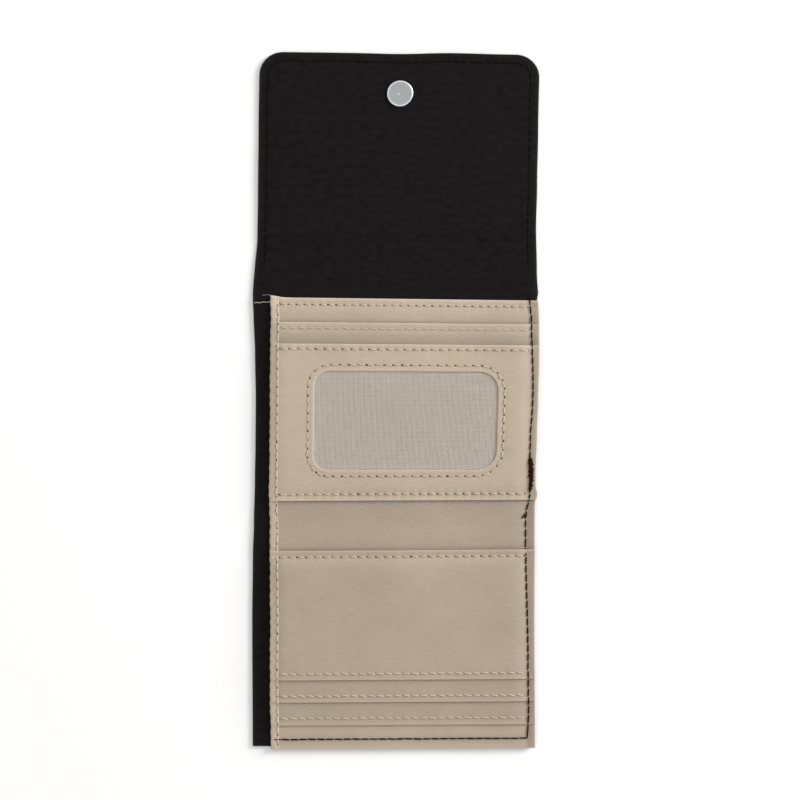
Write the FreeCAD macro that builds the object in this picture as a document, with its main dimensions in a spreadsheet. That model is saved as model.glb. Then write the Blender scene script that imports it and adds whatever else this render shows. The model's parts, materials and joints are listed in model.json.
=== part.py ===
"""A cloth bifold wallet with a snap flap, laid open and flat, inside up.

Frame: +Z up, +Y towards the flap, +X to the right, millimetres, origin under the middle of the open wallet.
The wallet is two halves and a flap. The centre half carries the ID window, the front half folds up over it,
and the flap folds over both. A fold turns at two creases with a narrow strip between them, the spine, whose
width is the thickness that the fold goes round. Cloth is cut at each crease, because the two sides move.

Layers of a half, from the table up: outer cloth, stiffening board, black lining, the banknote compartment,
the beige liner, and the card pockets. The banknote compartment is open along the left side only. The liner's
left edge is turned back over the pockets as a hem.
"""

import FreeCAD
import Part
import PartDesign
import Sketcher
import math
import os

# Driving dimensions: alias, value in millimetres (or a plain count), and what it measures.
DIMENSIONS = [
    ("body_width", 105.0, "outer cloth of both halves, left to right"),
    ("open_length", 257.0, "lower end to flap tip, laid open"),
    ("body_length", 166.2, "lower end to the liner's upper edge"),
    ("front_length", 82.2, "lower end to the middle of the fold"),
    ("fold_spine", 3.2, "strip between the two creases of the fold"),
    ("flap_spine", 8.6, "strip between the two creases of the flap"),
    ("flap_root", 1.5, "shell between the liner's upper edge and the flap's first crease"),
    ("crease_slit", 0.3, "gap between two cloths that meet at a crease"),
    ("flap_width", 104.0, "flap, left to right"),
    ("flap_shift", 0.5, "middle of the flap, right of the body's middle"),
    ("flap_corner", 8.5, "radius of the flap's two corners"),
    ("flap_soft", 12.8, "soft root of the flap below its board"),
    ("body_corner", 1.2, "radius of the two corners at the lower end"),
    ("snap_proud", 0.8, "height of each snap half off its cloth"),
    ("cloth_t", 0.45, "outer cloth"),
    ("board_t", 0.4, "stiffening board"),
    ("lining_t", 0.25, "black lining"),
    ("note_gap", 0.6, "banknote compartment, empty"),
    ("liner_t", 0.3, "beige liner"),
    ("pocket_gap", 0.25, "card pocket, empty"),
    ("pocket_t", 0.3, "pocket panel"),
    ("net_t", 0.15, "net of the ID window"),
    ("board_inset", 3.0, "board inside the edge of its cloth"),
    ("lining_inset", 0.3, "lining inside the edge of the outer cloth"),
    ("liner_left", 6.1, "black strip left of the liner"),
    ("liner_right", 0.3, "liner inside the right edge"),
    ("liner_end", 0.3, "liner inside the lower end"),
    ("hem_width", 2.9, "liner's left hem, over the pockets' left edges"),
    ("hem_t", 0.25, "liner's left hem"),
    ("seam_width", 5.0, "seam allowance along a sewn side"),
    ("seam_inset", 0.4, "seam allowance inside the edge of its panel"),
    ("pocket_first", 8.8, "liner's upper edge to the mouth of the centre card pocket"),
    ("pocket_step", 8.3, "one pocket mouth to the next"),
    ("front_first", 8.2, "lower end to the mouth of the lowest front pocket"),
    ("fold_clear", 9.0, "middle of the fold to the pockets' closed ends"),
    ("base_step", 1.0, "how much further from the fold the next panel down ends"),
    ("window_width", 67.7, "ID window"),
    ("window_height", 36.6, "ID window"),
    ("window_corner", 6.5, "ID window"),
    ("window_x", 3.5, "middle of the ID window"),
    ("window_y", -7.7, "middle of the ID window"),
    ("net_margin", 4.5, "net beyond the window on each side"),
    ("window_stitch", 2.3, "window edge to its stitching"),
    ("mouth_stitch", 2.4, "pocket edge to its stitching"),
    ("hem_stitch", 1.9, "liner's left edge to its stitching"),
    ("edge_stitch", 3.4, "liner's right and lower edge to the black stitching"),
    ("flap_stitch", 3.2, "flap's edge to its stitching"),
    ("flap_stitch_start", 1.0, "flap's last crease to its stitching"),
    ("stitch_pitch", 3.3, "one stitch to the next"),
    ("stitch_length", 2.3, "one stitch"),
    ("bartack_y", -26.5, "middle of the bartack on the black edge row"),
    ("bartack_run", 10.6, "bartack, end to end"),
    ("bartack_pitch", 0.7, "one bar of the bartack to the next"),
    ("bartack_bar", 1.8, "one bar of the bartack, across"),
    ("thread_w", 0.45, "thread, across"),
    ("thread_t", 0.2, "thread, off the cloth"),
    ("snap_x", 0.9, "both snap halves"),
    ("snap_drop", 14.8, "flap tip to the middle of the snap"),
    ("snap_radius", 4.85, "both snap halves"),
    ("snap_bevel", 0.3, "bevel of the rims of both snap halves"),
    ("dimple_radius", 0.9, "dimple in the middle of the plate"),
    ("dimple_depth", 0.25, "dimple in the middle of the plate"),
    ("post_radius", 0.9, "rivet post of either snap half"),
    ("head_radius", 1.7, "flared end of a rivet post"),
    ("head_t", 0.12, "flared end of a rivet post"),
    ("washer_radius", 4.2, "washer behind either snap half"),
    ("washer_t", 0.22, "washer behind either snap half"),
    ("case_wall", 0.15, "pressed case of the magnet"),
    ("magnet_radius", 4.6, "disc magnet"),
    ("magnet_t", 0.5, "disc magnet"),
    ("part_slack", 0.04, "clearance round loose inner pieces"),
]

# Edges that several parts share, as expressions of the driving dimensions.
LEFT = "(-dims.body_width / 2)"
LOWER_END = "(-dims.open_length / 2)"
LINER_TOP = "(dims.body_length - dims.open_length / 2)"
FOLD_MIDDLE = "(dims.front_length - dims.open_length / 2)"
FOLD_BACK = f"({FOLD_MIDDLE} + dims.fold_spine / 2)"
FOLD_FRONT = f"({FOLD_MIDDLE} - dims.fold_spine / 2)"
FLAP_NEAR = f"({LINER_TOP} + dims.flap_root)"
FLAP_FAR = f"({FLAP_NEAR} + dims.flap_spine)"
FLAP_TIP = "(dims.open_length / 2)"
FLAP_LEFT = "(dims.flap_shift - dims.flap_width / 2)"
LINER_LEFT = f"({LEFT} + dims.liner_left)"
LINER_WIDTH = "(dims.body_width - dims.liner_left - dims.liner_right)"
LINER_RIGHT = f"({LINER_LEFT} + {LINER_WIDTH})"
LINER_LOW = f"({LOWER_END} + dims.liner_end)"
SLIT = "(dims.crease_slit / 2)"
CENTRE_LOW = f"({FOLD_BACK} + {SLIT})"
FRONT_HIGH = f"({FOLD_FRONT} - {SLIT})"
WINDOW_BASE = f"({FOLD_MIDDLE} + dims.fold_clear)"
CENTRE_MOUTH = f"({LINER_TOP} - dims.pocket_first)"
WINDOW_MOUTH = f"({CENTRE_MOUTH} - dims.pocket_step)"
FRONT_BASE = f"({FOLD_MIDDLE} - dims.fold_clear)"
FRONT_MOUTHS = [f"({LOWER_END} + dims.front_first + {i} * dims.pocket_step)" for i in range(3)]
HEM_THREAD_X = f"({LINER_LEFT} + dims.hem_stitch)"
EDGE_THREAD_X = f"({LINER_RIGHT} - dims.edge_stitch)"
SNAP_Y = f"({FLAP_TIP} - dims.snap_drop)"
MAGNET_Y = f"({FOLD_FRONT} + {FOLD_BACK} - {FLAP_NEAR} - {FLAP_FAR} + {SNAP_Y})"

# Levels of the layers.
CLOTH_Z = "dims.snap_proud"
BOARD_Z = f"({CLOTH_Z} + dims.cloth_t)"
LINING_Z = f"({BOARD_Z} + dims.board_t)"
NOTE_Z = f"({LINING_Z} + dims.lining_t)"
LINER_Z = f"({NOTE_Z} + dims.note_gap)"
POCKET_LAYER = "(dims.pocket_gap + dims.pocket_t)"


def rise(panels):
    """Height of a number of pocket panels off the liner."""
    return f"{panels} * {POCKET_LAYER}" if panels else "0"


def panel_top(panels):
    """Level of the top of a number of pocket panels, or of the liner itself for none."""
    return f"({LINER_Z} + dims.liner_t + {rise(panels)})"


def make_sheet(doc):
    """The spreadsheet of driving dimensions, one row each."""
    sheet = doc.addObject("Spreadsheet::Sheet", "dims")
    for row, (alias, value, note) in enumerate(DIMENSIONS, start=1):
        sheet.set(f"A{row}", alias)
        sheet.set(f"B{row}", str(value))
        sheet.set(f"C{row}", note)
        sheet.setAlias(f"B{row}", alias)
    doc.recompute()
    return sheet


def new_body(doc, label):
    """An empty body for one sub-part, which may hold several separate solids."""
    body = doc.addObject("PartDesign::Body", label)
    body.Label = label
    body.AllowCompound = True
    return body


def attached_sketch(body, role, x, y, z):
    """A sketch on one of the body's origin planes, moved by three expressions in the plane's own axes."""
    sketch = body.newObject("Sketcher::SketchObject", "Outline")
    plane = next(f for f in body.Origin.OriginFeatures if f.Role == role)
    sketch.AttachmentSupport = (plane, [""])
    sketch.MapMode = "FlatFace"
    for axis, expression in zip("xyz", (x, y, z)):
        sketch.setExpression(f"AttachmentOffset.Base.{axis}", expression)
    return sketch


def polygon(sketch, profile):
    """Closes a polygon through (across, up) pairs of expressions, none negative, counter-clockwise."""
    count = len(profile)
    turns = [2 * math.pi * i / count for i in range(count)]
    start = [FreeCAD.Vector(2 + math.cos(a), 2 + math.sin(a), 0) for a in turns]
    for i in range(count):
        sketch.addGeometry(Part.LineSegment(start[i], start[(i + 1) % count]))
    for i in range(count):
        sketch.addConstraint(Sketcher.Constraint("Coincident", i, 2, (i + 1) % count, 1))
    for i, pair in enumerate(profile):
        for kind, axis, expression in zip(("DistanceX", "DistanceY"), (-2, -1), pair):
            if expression == "0":
                sketch.addConstraint(Sketcher.Constraint("PointOnObject", i, 1, axis))
            else:
                made = sketch.addConstraint(Sketcher.Constraint(kind, -1, 1, i, 1, 1.0))
                sketch.setExpression(f"Constraints[{made}]", expression)


def rectangle(body, x, y, z, width, height):
    """A rectangle whose lower left corner is at x, y on level z."""
    sketch = attached_sketch(body, "XY_Plane", x, y, z)
    polygon(sketch, [("0", "0"), (width, "0"), (width, height), ("0", height)])
    return sketch


def feature(body, kind, name, profile, length):
    """A Pad or Pocket of a sketch, with its length bound to an expression."""
    made = body.newObject(f"PartDesign::{kind}", name)
    made.Profile = profile
    made.setExpression("Length", length)
    body.Tip = made
    return made


def pad_panel(body, x, y, z, width, height, thickness):
    """Adds a rectangular cloth or strip to a body."""
    feature(body, "Pad", "Panel", rectangle(body, x, y, z, width, height), thickness)


def panel(doc, label, x, y, z, width, height, thickness):
    """A body that is one rectangular panel."""
    body = new_body(doc, label)
    pad_panel(body, x, y, z, width, height, thickness)
    return body


def round_corners(doc, body, radius, wanted):
    """Rounds the upright edges whose middle satisfies wanted."""
    doc.recompute()
    base = body.Tip
    names = []
    for i, edge in enumerate(base.Shape.Edges, start=1):
        box = edge.BoundBox
        if box.XLength < 1e-6 and box.YLength < 1e-6 and wanted(box.Center):
            names.append(f"Edge{i}")
    fillet = body.newObject("PartDesign::Fillet", "Corners")
    fillet.Base = (base, names)
    fillet.setExpression("Radius", radius)
    body.Tip = fillet


def cut_hole(doc, body, x, y, top, radius, depth):
    """Cuts a round hole down from level top, and checks that it removed material."""
    doc.recompute()
    before = body.Shape.Volume
    sketch = attached_sketch(body, "XY_Plane", x, y, top)
    sketch.addGeometry(Part.Circle(FreeCAD.Vector(0, 0, 0), FreeCAD.Vector(0, 0, 1), 1.0))
    sketch.addConstraint(Sketcher.Constraint("Coincident", 0, 3, -1, 1))
    size = sketch.addConstraint(Sketcher.Constraint("Radius", 0, 1.0))
    sketch.setExpression(f"Constraints[{size}]", radius)
    feature(body, "Pocket", "Hole", sketch, depth)
    doc.recompute()
    if body.Shape.Volume >= before:
        raise RuntimeError(f"the hole in {body.Label} cut nothing")


def turned(doc, label, x, y, profile):
    """A body turned about an upright axis at x, y. The profile lists (radius, level) pairs in order."""
    body = new_body(doc, label)
    sketch = attached_sketch(body, "XZ_Plane", x, "0", f"-{y}")
    polygon(sketch, profile)
    spin = body.newObject("PartDesign::Revolution", "Turned")
    spin.Profile = sketch
    spin.ReferenceAxis = (sketch, ["V_Axis"])
    spin.Angle = 360.0
    body.Tip = spin


def thread_row(body, x, y, z, along, run, length, width, pitch):
    """Pads one thread, whose lower left corner is at x, y on level z, and repeats it along a run, right (H)
    or up (V), as often as it fits. Length is along the run, and width is across it."""
    sides = (length, width) if along == "H" else (width, length)
    outline = rectangle(body, x, y, z, *sides)
    thread = feature(body, "Pad", "Thread", outline, "dims.thread_t")
    count = f"floor(({run} - {length}) / {pitch}) + 1"
    row = body.newObject("PartDesign::LinearPattern", "Row")
    row.Originals = [thread]
    row.Direction = (outline, [f"{along}_Axis"])
    row.setExpression("Length", f"({count} - 1) * {pitch}")
    row.setExpression("Occurrences", count)
    body.Tip = row


def stitches_right(body, x, y, z, run):
    """A row of stitches that starts at x, goes right, and is centred on y."""
    thread_row(body, x, f"{y} - dims.thread_w / 2", z, "H", run,
               "dims.stitch_length", "dims.thread_w", "dims.stitch_pitch")


def stitches_up(body, x, steps):
    """A row of stitches centred on x that climbs over the panels. Each step is its low end, its high end
    and its level."""
    for low, high, level in steps:
        thread_row(body, f"{x} - dims.thread_w / 2", f"{low} + dims.thread_w / 2", level, "V",
                   f"{high} - ({low}) - dims.thread_w",
                   "dims.stitch_length", "dims.thread_w", "dims.stitch_pitch")


def stitches_on(path, sheet, closed):
    """Bars one stitch long, spaced evenly along a flat wire, each turned to the wire's direction."""
    length, width, height = sheet.stitch_length, sheet.thread_w, sheet.thread_t
    count = math.floor(path.Length / sheet.stitch_pitch)
    quarters = path.discretize(Number=count * 4 + 1)
    made = []
    for i in range(count if closed else count - 1):
        tail, head = quarters[4 * i + 1], quarters[4 * i + 3]
        turn = FreeCAD.Rotation(FreeCAD.Vector(1, 0, 0), head - tail)
        bar = Part.makeBox(length, width, height, FreeCAD.Vector(-length / 2, -width / 2, 0))
        bar.Placement = FreeCAD.Placement((tail + head) / 2, turn)
        made.append(bar)
    return Part.makeCompound(made)


def rounded_path(left, right, low, high, radius, level, closed):
    """A rounded rectangle as a wire, or its left, upper and right sides only."""
    def point(x, y):
        return FreeCAD.Vector(x, y, level)

    def corner(x, y, side_x, side_y, upright_first):
        """The arc round the corner at x, y, whose middle lies towards side_x, side_y."""
        on_side = point(x, y + side_y * radius)
        on_end = point(x + side_x * radius, y)
        inward = radius * (1 - math.sqrt(0.5))
        middle = point(x + side_x * inward, y + side_y * inward)
        return Part.Arc(*((on_side, middle, on_end) if upright_first else (on_end, middle, on_side)))

    edges = [
        Part.LineSegment(point(left, low + radius), point(left, high - radius)),
        corner(left, high, 1, -1, True),
        Part.LineSegment(point(left + radius, high), point(right - radius, high)),
        corner(right, high, -1, -1, False),
        Part.LineSegment(point(right, high - radius), point(right, low + radius)),
    ]
    if closed:
        edges += [
            corner(right, low, -1, 1, True),
            Part.LineSegment(point(right - radius, low), point(left + radius, low)),
            corner(left, low, 1, 1, False),
        ]
    return Part.Wire([e.toShape() for e in edges])


def thread_on(doc, label, path, sheet, closed):
    """A sub-part of stitches that follow a curved path."""
    thread = doc.addObject("Part::Feature", label)
    thread.Shape = stitches_on(path, sheet, closed)


def shell_section(doc, name, left, width, low, high):
    """Outer cloth and lining between two levels of Y."""
    height = f"{high} - ({low})"
    inset = "dims.lining_inset"
    cloth = panel(doc, f"{name}_outer_cloth", left, low, CLOTH_Z, width, height, "dims.cloth_t")
    lining = panel(doc, f"{name}_lining", f"{left} + {inset}", low, LINING_Z,
                   f"{width} - 2 * {inset}", height, "dims.lining_t")
    return cloth, lining


def make_board(doc, name, left, width, low, high):
    """The stiffening board of one section, inset from the edges of its cloth."""
    inset = "dims.board_inset"
    return panel(doc, f"{name}_board", f"{left} + {inset}", low, BOARD_Z,
                 f"{width} - 2 * {inset}", f"{high} - {inset} - ({low})", "dims.board_t")


def make_flap(doc, sheet):
    """The flap: outer cloth, board and lining with two round corners, and its edge stitching."""
    root = f"{FLAP_FAR} + {SLIT}"
    cloth, lining = shell_section(doc, "flap", FLAP_LEFT, "dims.flap_width", root, FLAP_TIP)
    board = make_board(doc, "flap", FLAP_LEFT, "dims.flap_width",
                       f"{FLAP_FAR} + dims.flap_soft", FLAP_TIP)
    near_tip = sheet.open_length / 2 - sheet.flap_corner
    for body in (cloth, lining):
        round_corners(doc, body, "dims.flap_corner", lambda c: c.y > near_tip)
    round_corners(doc, board, "dims.flap_corner - dims.board_inset", lambda c: c.y > near_tip)
    cut_hole(doc, lining, "dims.snap_x", SNAP_Y, NOTE_Z, "dims.post_radius + dims.part_slack",
             "dims.lining_t")
    cut_hole(doc, board, "dims.snap_x", SNAP_Y, LINING_Z, "dims.washer_radius + dims.part_slack",
             "dims.board_t")

    side = sheet.flap_width / 2 - sheet.flap_stitch
    far_crease = sheet.body_length - sheet.open_length / 2 + sheet.flap_root + sheet.flap_spine
    radius = sheet.flap_corner - sheet.flap_stitch
    path = rounded_path(
        sheet.flap_shift - side, sheet.flap_shift + side,
        far_crease + sheet.flap_stitch_start - radius, sheet.open_length / 2 - sheet.flap_stitch,
        radius, lining.Shape.BoundBox.ZMax, closed=False,
    )
    thread_on(doc, "flap_edge_thread", path, sheet, closed=False)


def make_snap_plate(doc):
    """The plain half of the magnetic snap: a steel plate riveted through the flap's lining to a washer."""
    top = f"({NOTE_Z} + dims.snap_proud)"
    washer_low = f"({LINING_Z} - dims.washer_t)"
    head_low = f"({washer_low} - dims.head_t)"
    turned(doc, "snap_plate", "dims.snap_x", SNAP_Y, [
        ("0", head_low),
        ("dims.head_radius", head_low),
        ("dims.head_radius", washer_low),
        ("dims.post_radius", washer_low),
        ("dims.post_radius", NOTE_Z),
        ("dims.snap_radius", NOTE_Z),
        ("dims.snap_radius", f"{top} - dims.snap_bevel"),
        ("dims.snap_radius - dims.snap_bevel", top),
        ("dims.dimple_radius", top),
        ("0", f"{top} - dims.dimple_depth"),
    ])
    turned(doc, "snap_plate_washer", "dims.snap_x", SNAP_Y, [
        ("dims.post_radius + dims.part_slack", washer_low),
        ("dims.washer_radius", washer_low),
        ("dims.washer_radius", LINING_Z),
        ("dims.post_radius + dims.part_slack", LINING_Z),
    ])


def make_snap_magnet(doc):
    """The magnet half of the snap, on the outside of the front half: case, magnet, rivet and washer."""
    magnet_low = "(dims.case_wall + dims.part_slack)"
    magnet_top = f"({magnet_low} + dims.magnet_t)"
    washer_top = f"({BOARD_Z} + dims.washer_t)"
    inner = "(dims.snap_radius - dims.case_wall)"
    turned(doc, "magnet_case", "dims.snap_x", MAGNET_Y, [
        ("0", "0"),
        ("dims.snap_radius - dims.snap_bevel", "0"),
        ("dims.snap_radius", "dims.snap_bevel"),
        ("dims.snap_radius", CLOTH_Z),
        (inner, CLOTH_Z),
        (inner, "dims.snap_bevel + dims.case_wall"),
        (f"{inner} - dims.snap_bevel", "dims.case_wall"),
        ("0", "dims.case_wall"),
    ])
    turned(doc, "snap_magnet", "dims.snap_x", MAGNET_Y, [
        ("0", magnet_low),
        ("dims.magnet_radius - dims.snap_bevel", magnet_low),
        ("dims.magnet_radius", f"{magnet_low} + dims.snap_bevel"),
        ("dims.magnet_radius", magnet_top),
        ("0", magnet_top),
    ])
    turned(doc, "magnet_rivet", "dims.snap_x", MAGNET_Y, [
        ("0", magnet_top),
        ("dims.magnet_radius", magnet_top),
        ("dims.magnet_radius", CLOTH_Z),
        ("dims.post_radius", CLOTH_Z),
        ("dims.post_radius", washer_top),
        ("dims.head_radius", washer_top),
        ("dims.head_radius", f"{washer_top} + dims.head_t"),
        ("0", f"{washer_top} + dims.head_t"),
    ])
    turned(doc, "magnet_washer", "dims.snap_x", MAGNET_Y, [
        ("dims.post_radius + dims.part_slack", BOARD_Z),
        ("dims.washer_radius", BOARD_Z),
        ("dims.washer_radius", washer_top),
        ("dims.post_radius + dims.part_slack", washer_top),
    ])


def stepped_hem(doc, label, steps):
    """The liner's left hem, turned over the pockets' left edges. Each step is its low end, its high end and
    the number of panels under it. The hem is as thick up a step as it is along it."""
    start, end = steps[0][0], steps[-1][1]
    under = [("0", steps[0][2])]
    over = [("0", steps[0][2])]
    for (_, edge, panels), (_, _, next_panels) in zip(steps, steps[1:]):
        outward = "-" if next_panels > panels else "+"
        under += [(f"{edge} - {start}", count) for count in (panels, next_panels)]
        over += [(f"{edge} {outward} dims.hem_t - {start}", count) for count in (panels, next_panels)]
    under.append((f"{end} - {start}", steps[-1][2]))
    over.append((f"{end} - {start}", steps[-1][2]))
    profile = [(y, rise(panels)) for y, panels in under]
    profile += [(y, f"{rise(panels)} + dims.hem_t") for y, panels in reversed(over)]
    body = new_body(doc, label)
    sketch = attached_sketch(body, "YZ_Plane", start, panel_top(0), LINER_LEFT)
    polygon(sketch, profile)
    feature(body, "Pad", "Hem", sketch, "dims.hem_width")


def make_spines(doc):
    """The soft strips between the creases: shell only at the flap, shell, liner and hem at the fold."""
    shell_section(doc, "flap_spine", FLAP_LEFT, "dims.flap_width",
                  f"{FLAP_NEAR} + {SLIT}", f"{FLAP_FAR} - {SLIT}")
    low = f"({FOLD_FRONT} + {SLIT})"
    high = f"({FOLD_BACK} - {SLIT})"
    shell_section(doc, "fold_spine", LEFT, "dims.body_width", low, high)
    panel(doc, "fold_spine_liner", LINER_LEFT, low, LINER_Z, LINER_WIDTH, f"{high} - {low}",
          "dims.liner_t")
    stepped_hem(doc, "fold_spine_hem", [(low, high, 0)])
    stitches_up(new_body(doc, "fold_spine_thread"), HEM_THREAD_X,
                [(low, high, f"{panel_top(0)} + dims.hem_t")])


def make_seam_allowance(doc, name, side_low, side_high, end_low):
    """The folded edge that closes the banknote compartment along the right side and one end of a half."""
    body = new_body(doc, f"{name}_seam_allowance")
    side_left = f"({LINER_RIGHT} - dims.seam_inset - dims.seam_width)"
    end_left = f"({LINER_LEFT} + dims.seam_width + dims.seam_inset)"
    pad_panel(body, side_left, side_low, NOTE_Z, "dims.seam_width", f"{side_high} - {side_low}",
              "dims.note_gap")
    pad_panel(body, end_left, end_low, NOTE_Z, f"{side_left} - {end_left}", "dims.seam_width",
              "dims.note_gap")


def pocket_seams(body, panels, low, high, closed_end):
    """The seam allowances of one pocket: both sides from low to high, and its closed end between them."""
    level = panel_top(panels)
    inset = "(dims.seam_inset + dims.seam_width)"
    for left in (f"{LINER_LEFT} + dims.seam_inset", f"{LINER_RIGHT} - {inset}"):
        pad_panel(body, left, low, level, "dims.seam_width", f"{high} - {low}", "dims.pocket_gap")
    pad_panel(body, f"{LINER_LEFT} + {inset}", closed_end, level, f"{LINER_WIDTH} - 2 * {inset}",
              "dims.seam_width", "dims.pocket_gap")


def make_centre(doc, sheet):
    """The centre half: shell, liner, one card pocket and the ID window pocket over it."""
    shell_section(doc, "centre", LEFT, "dims.body_width", CENTRE_LOW, f"({FLAP_NEAR} - {SLIT})")
    make_board(doc, "centre", LEFT, "dims.body_width", f"{CENTRE_LOW} + dims.board_inset", FLAP_NEAR)
    panel(doc, "centre_liner", LINER_LEFT, CENTRE_LOW, LINER_Z, LINER_WIDTH,
          f"{LINER_TOP} - {CENTRE_LOW}", "dims.liner_t")
    end_high = f"({LINER_TOP} - dims.seam_inset)"
    make_seam_allowance(doc, "centre", CENTRE_LOW, end_high, f"{end_high} - dims.seam_width")

    base = f"({WINDOW_BASE} + dims.base_step)"
    panel(doc, "centre_card_pocket", LINER_LEFT, base, f"{panel_top(0)} + dims.pocket_gap",
          LINER_WIDTH, f"{CENTRE_MOUTH} - {base}", "dims.pocket_t")
    make_window_panel(doc, sheet)
    seams = new_body(doc, "centre_pocket_seams")
    for panels, mouth in enumerate((CENTRE_MOUTH, WINDOW_MOUTH)):
        pocket_seams(seams, panels, base, mouth, base)

    hem_steps = [
        (CENTRE_LOW, WINDOW_BASE, 0),
        (WINDOW_BASE, WINDOW_MOUTH, 2),
        (WINDOW_MOUTH, CENTRE_MOUTH, 1),
        (CENTRE_MOUTH, LINER_TOP, 0),
    ]
    stepped_hem(doc, "centre_liner_hem", hem_steps)
    stitches_up(new_body(doc, "centre_hem_thread"), HEM_THREAD_X, on_hem(hem_steps))


def on_hem(steps):
    """The steps that a thread row takes along the top of a stepped hem."""
    moved = []
    for i, (low, high, panels) in enumerate(steps):
        if i:
            low = f"{low} {'-' if panels > steps[i - 1][2] else '+'} dims.hem_t"
        if i < len(steps) - 1:
            high = f"{high} {'-' if steps[i + 1][2] > panels else '+'} dims.hem_t"
        moved.append((low, high, f"{panel_top(panels)} + dims.hem_t"))
    return moved


def make_window_panel(doc, sheet):
    """The ID window panel with its opening, the net behind it, and the stitching round the opening."""
    body = panel(doc, "id_window_panel", LINER_LEFT, WINDOW_BASE, f"{panel_top(1)} + dims.pocket_gap",
                 LINER_WIDTH, f"{WINDOW_MOUTH} - {WINDOW_BASE}", "dims.pocket_t")
    left = "(dims.window_x - dims.window_width / 2)"
    low = "(dims.window_y - dims.window_height / 2)"
    doc.recompute()
    whole = body.Shape.Volume
    opening = rectangle(body, left, low, panel_top(2), "dims.window_width", "dims.window_height")
    feature(body, "Pocket", "Opening", opening, "dims.pocket_t")
    reach = sheet.window_width / 2 + sheet.window_stitch
    round_corners(doc, body, "dims.window_corner", lambda c: abs(c.x - sheet.window_x) < reach)
    doc.recompute()
    opening_area = sheet.window_width * sheet.window_height - (4 - math.pi) * sheet.window_corner**2
    if abs(whole - body.Shape.Volume - opening_area * sheet.pocket_t) > 1e-3:
        raise RuntimeError("the ID window's opening isn't the size it should be")

    margin = "dims.net_margin"
    panel(doc, "id_window_net", f"{left} - {margin}", f"{low} - {margin}",
          f"{panel_top(1)} + dims.pocket_gap - dims.net_t", f"dims.window_width + 2 * {margin}",
          f"dims.window_height + 2 * {margin}", "dims.net_t")

    half_width = sheet.window_width / 2 + sheet.window_stitch
    half_height = sheet.window_height / 2 + sheet.window_stitch
    path = rounded_path(
        sheet.window_x - half_width, sheet.window_x + half_width,
        sheet.window_y - half_height, sheet.window_y + half_height,
        sheet.window_corner + sheet.window_stitch, body.Shape.BoundBox.ZMax, closed=True,
    )
    thread_on(doc, "id_window_thread", path, sheet, closed=True)


def make_front(doc, sheet):
    """The front half: shell, liner and three stepped card pockets that open towards its lower end."""
    cloth, lining = shell_section(doc, "front", LEFT, "dims.body_width", LOWER_END, FRONT_HIGH)
    board = make_board(doc, "front", LEFT, "dims.body_width", f"{LOWER_END} + dims.board_inset",
                       FRONT_HIGH)
    near_end = sheet.front_first - sheet.open_length / 2
    for body in (cloth, lining):
        round_corners(doc, body, "dims.body_corner", lambda c: c.y < near_end)
    cut_hole(doc, cloth, "dims.snap_x", MAGNET_Y, BOARD_Z, "dims.post_radius + dims.part_slack",
             "dims.cloth_t")
    cut_hole(doc, board, "dims.snap_x", MAGNET_Y, LINING_Z, "dims.washer_radius + dims.part_slack",
             "dims.board_t")
    panel(doc, "front_liner", LINER_LEFT, LINER_LOW, LINER_Z, LINER_WIDTH,
          f"{FRONT_HIGH} - {LINER_LOW}", "dims.liner_t")
    end_low = f"({LINER_LOW} + dims.seam_inset)"
    make_seam_allowance(doc, "front", end_low, FRONT_HIGH, end_low)

    seams = new_body(doc, "front_pocket_seams")
    innermost_base = f"({FRONT_BASE} - 2 * dims.base_step)"
    for panels, (name, mouth) in enumerate(zip(("low", "middle", "top"), FRONT_MOUTHS)):
        base = f"({FRONT_BASE} - {2 - panels} * dims.base_step)"
        panel(doc, f"front_card_pocket_{name}", LINER_LEFT, mouth,
              f"{panel_top(panels)} + dims.pocket_gap", LINER_WIDTH, f"{base} - {mouth}",
              "dims.pocket_t")
        pocket_seams(seams, panels, mouth, innermost_base, f"{innermost_base} - dims.seam_width")

    hem_steps = [
        (LINER_LOW, FRONT_MOUTHS[0], 0),
        (FRONT_MOUTHS[0], FRONT_MOUTHS[1], 1),
        (FRONT_MOUTHS[1], FRONT_MOUTHS[2], 2),
        (FRONT_MOUTHS[2], FRONT_BASE, 3),
        (FRONT_BASE, FRONT_HIGH, 0),
    ]
    stepped_hem(doc, "front_liner_hem", hem_steps)
    stitches_up(new_body(doc, "front_hem_thread"), HEM_THREAD_X, on_hem(hem_steps))


def row_across(doc, label, y, panels):
    """A thread row across the liner, between the hem's row and the black edge row."""
    body = new_body(doc, label)
    start = f"({LINER_LEFT} + dims.hem_width + dims.thread_w)"
    stitches_right(body, start, y, panel_top(panels), f"{EDGE_THREAD_X} - {start} - dims.thread_w")
    return body


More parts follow.
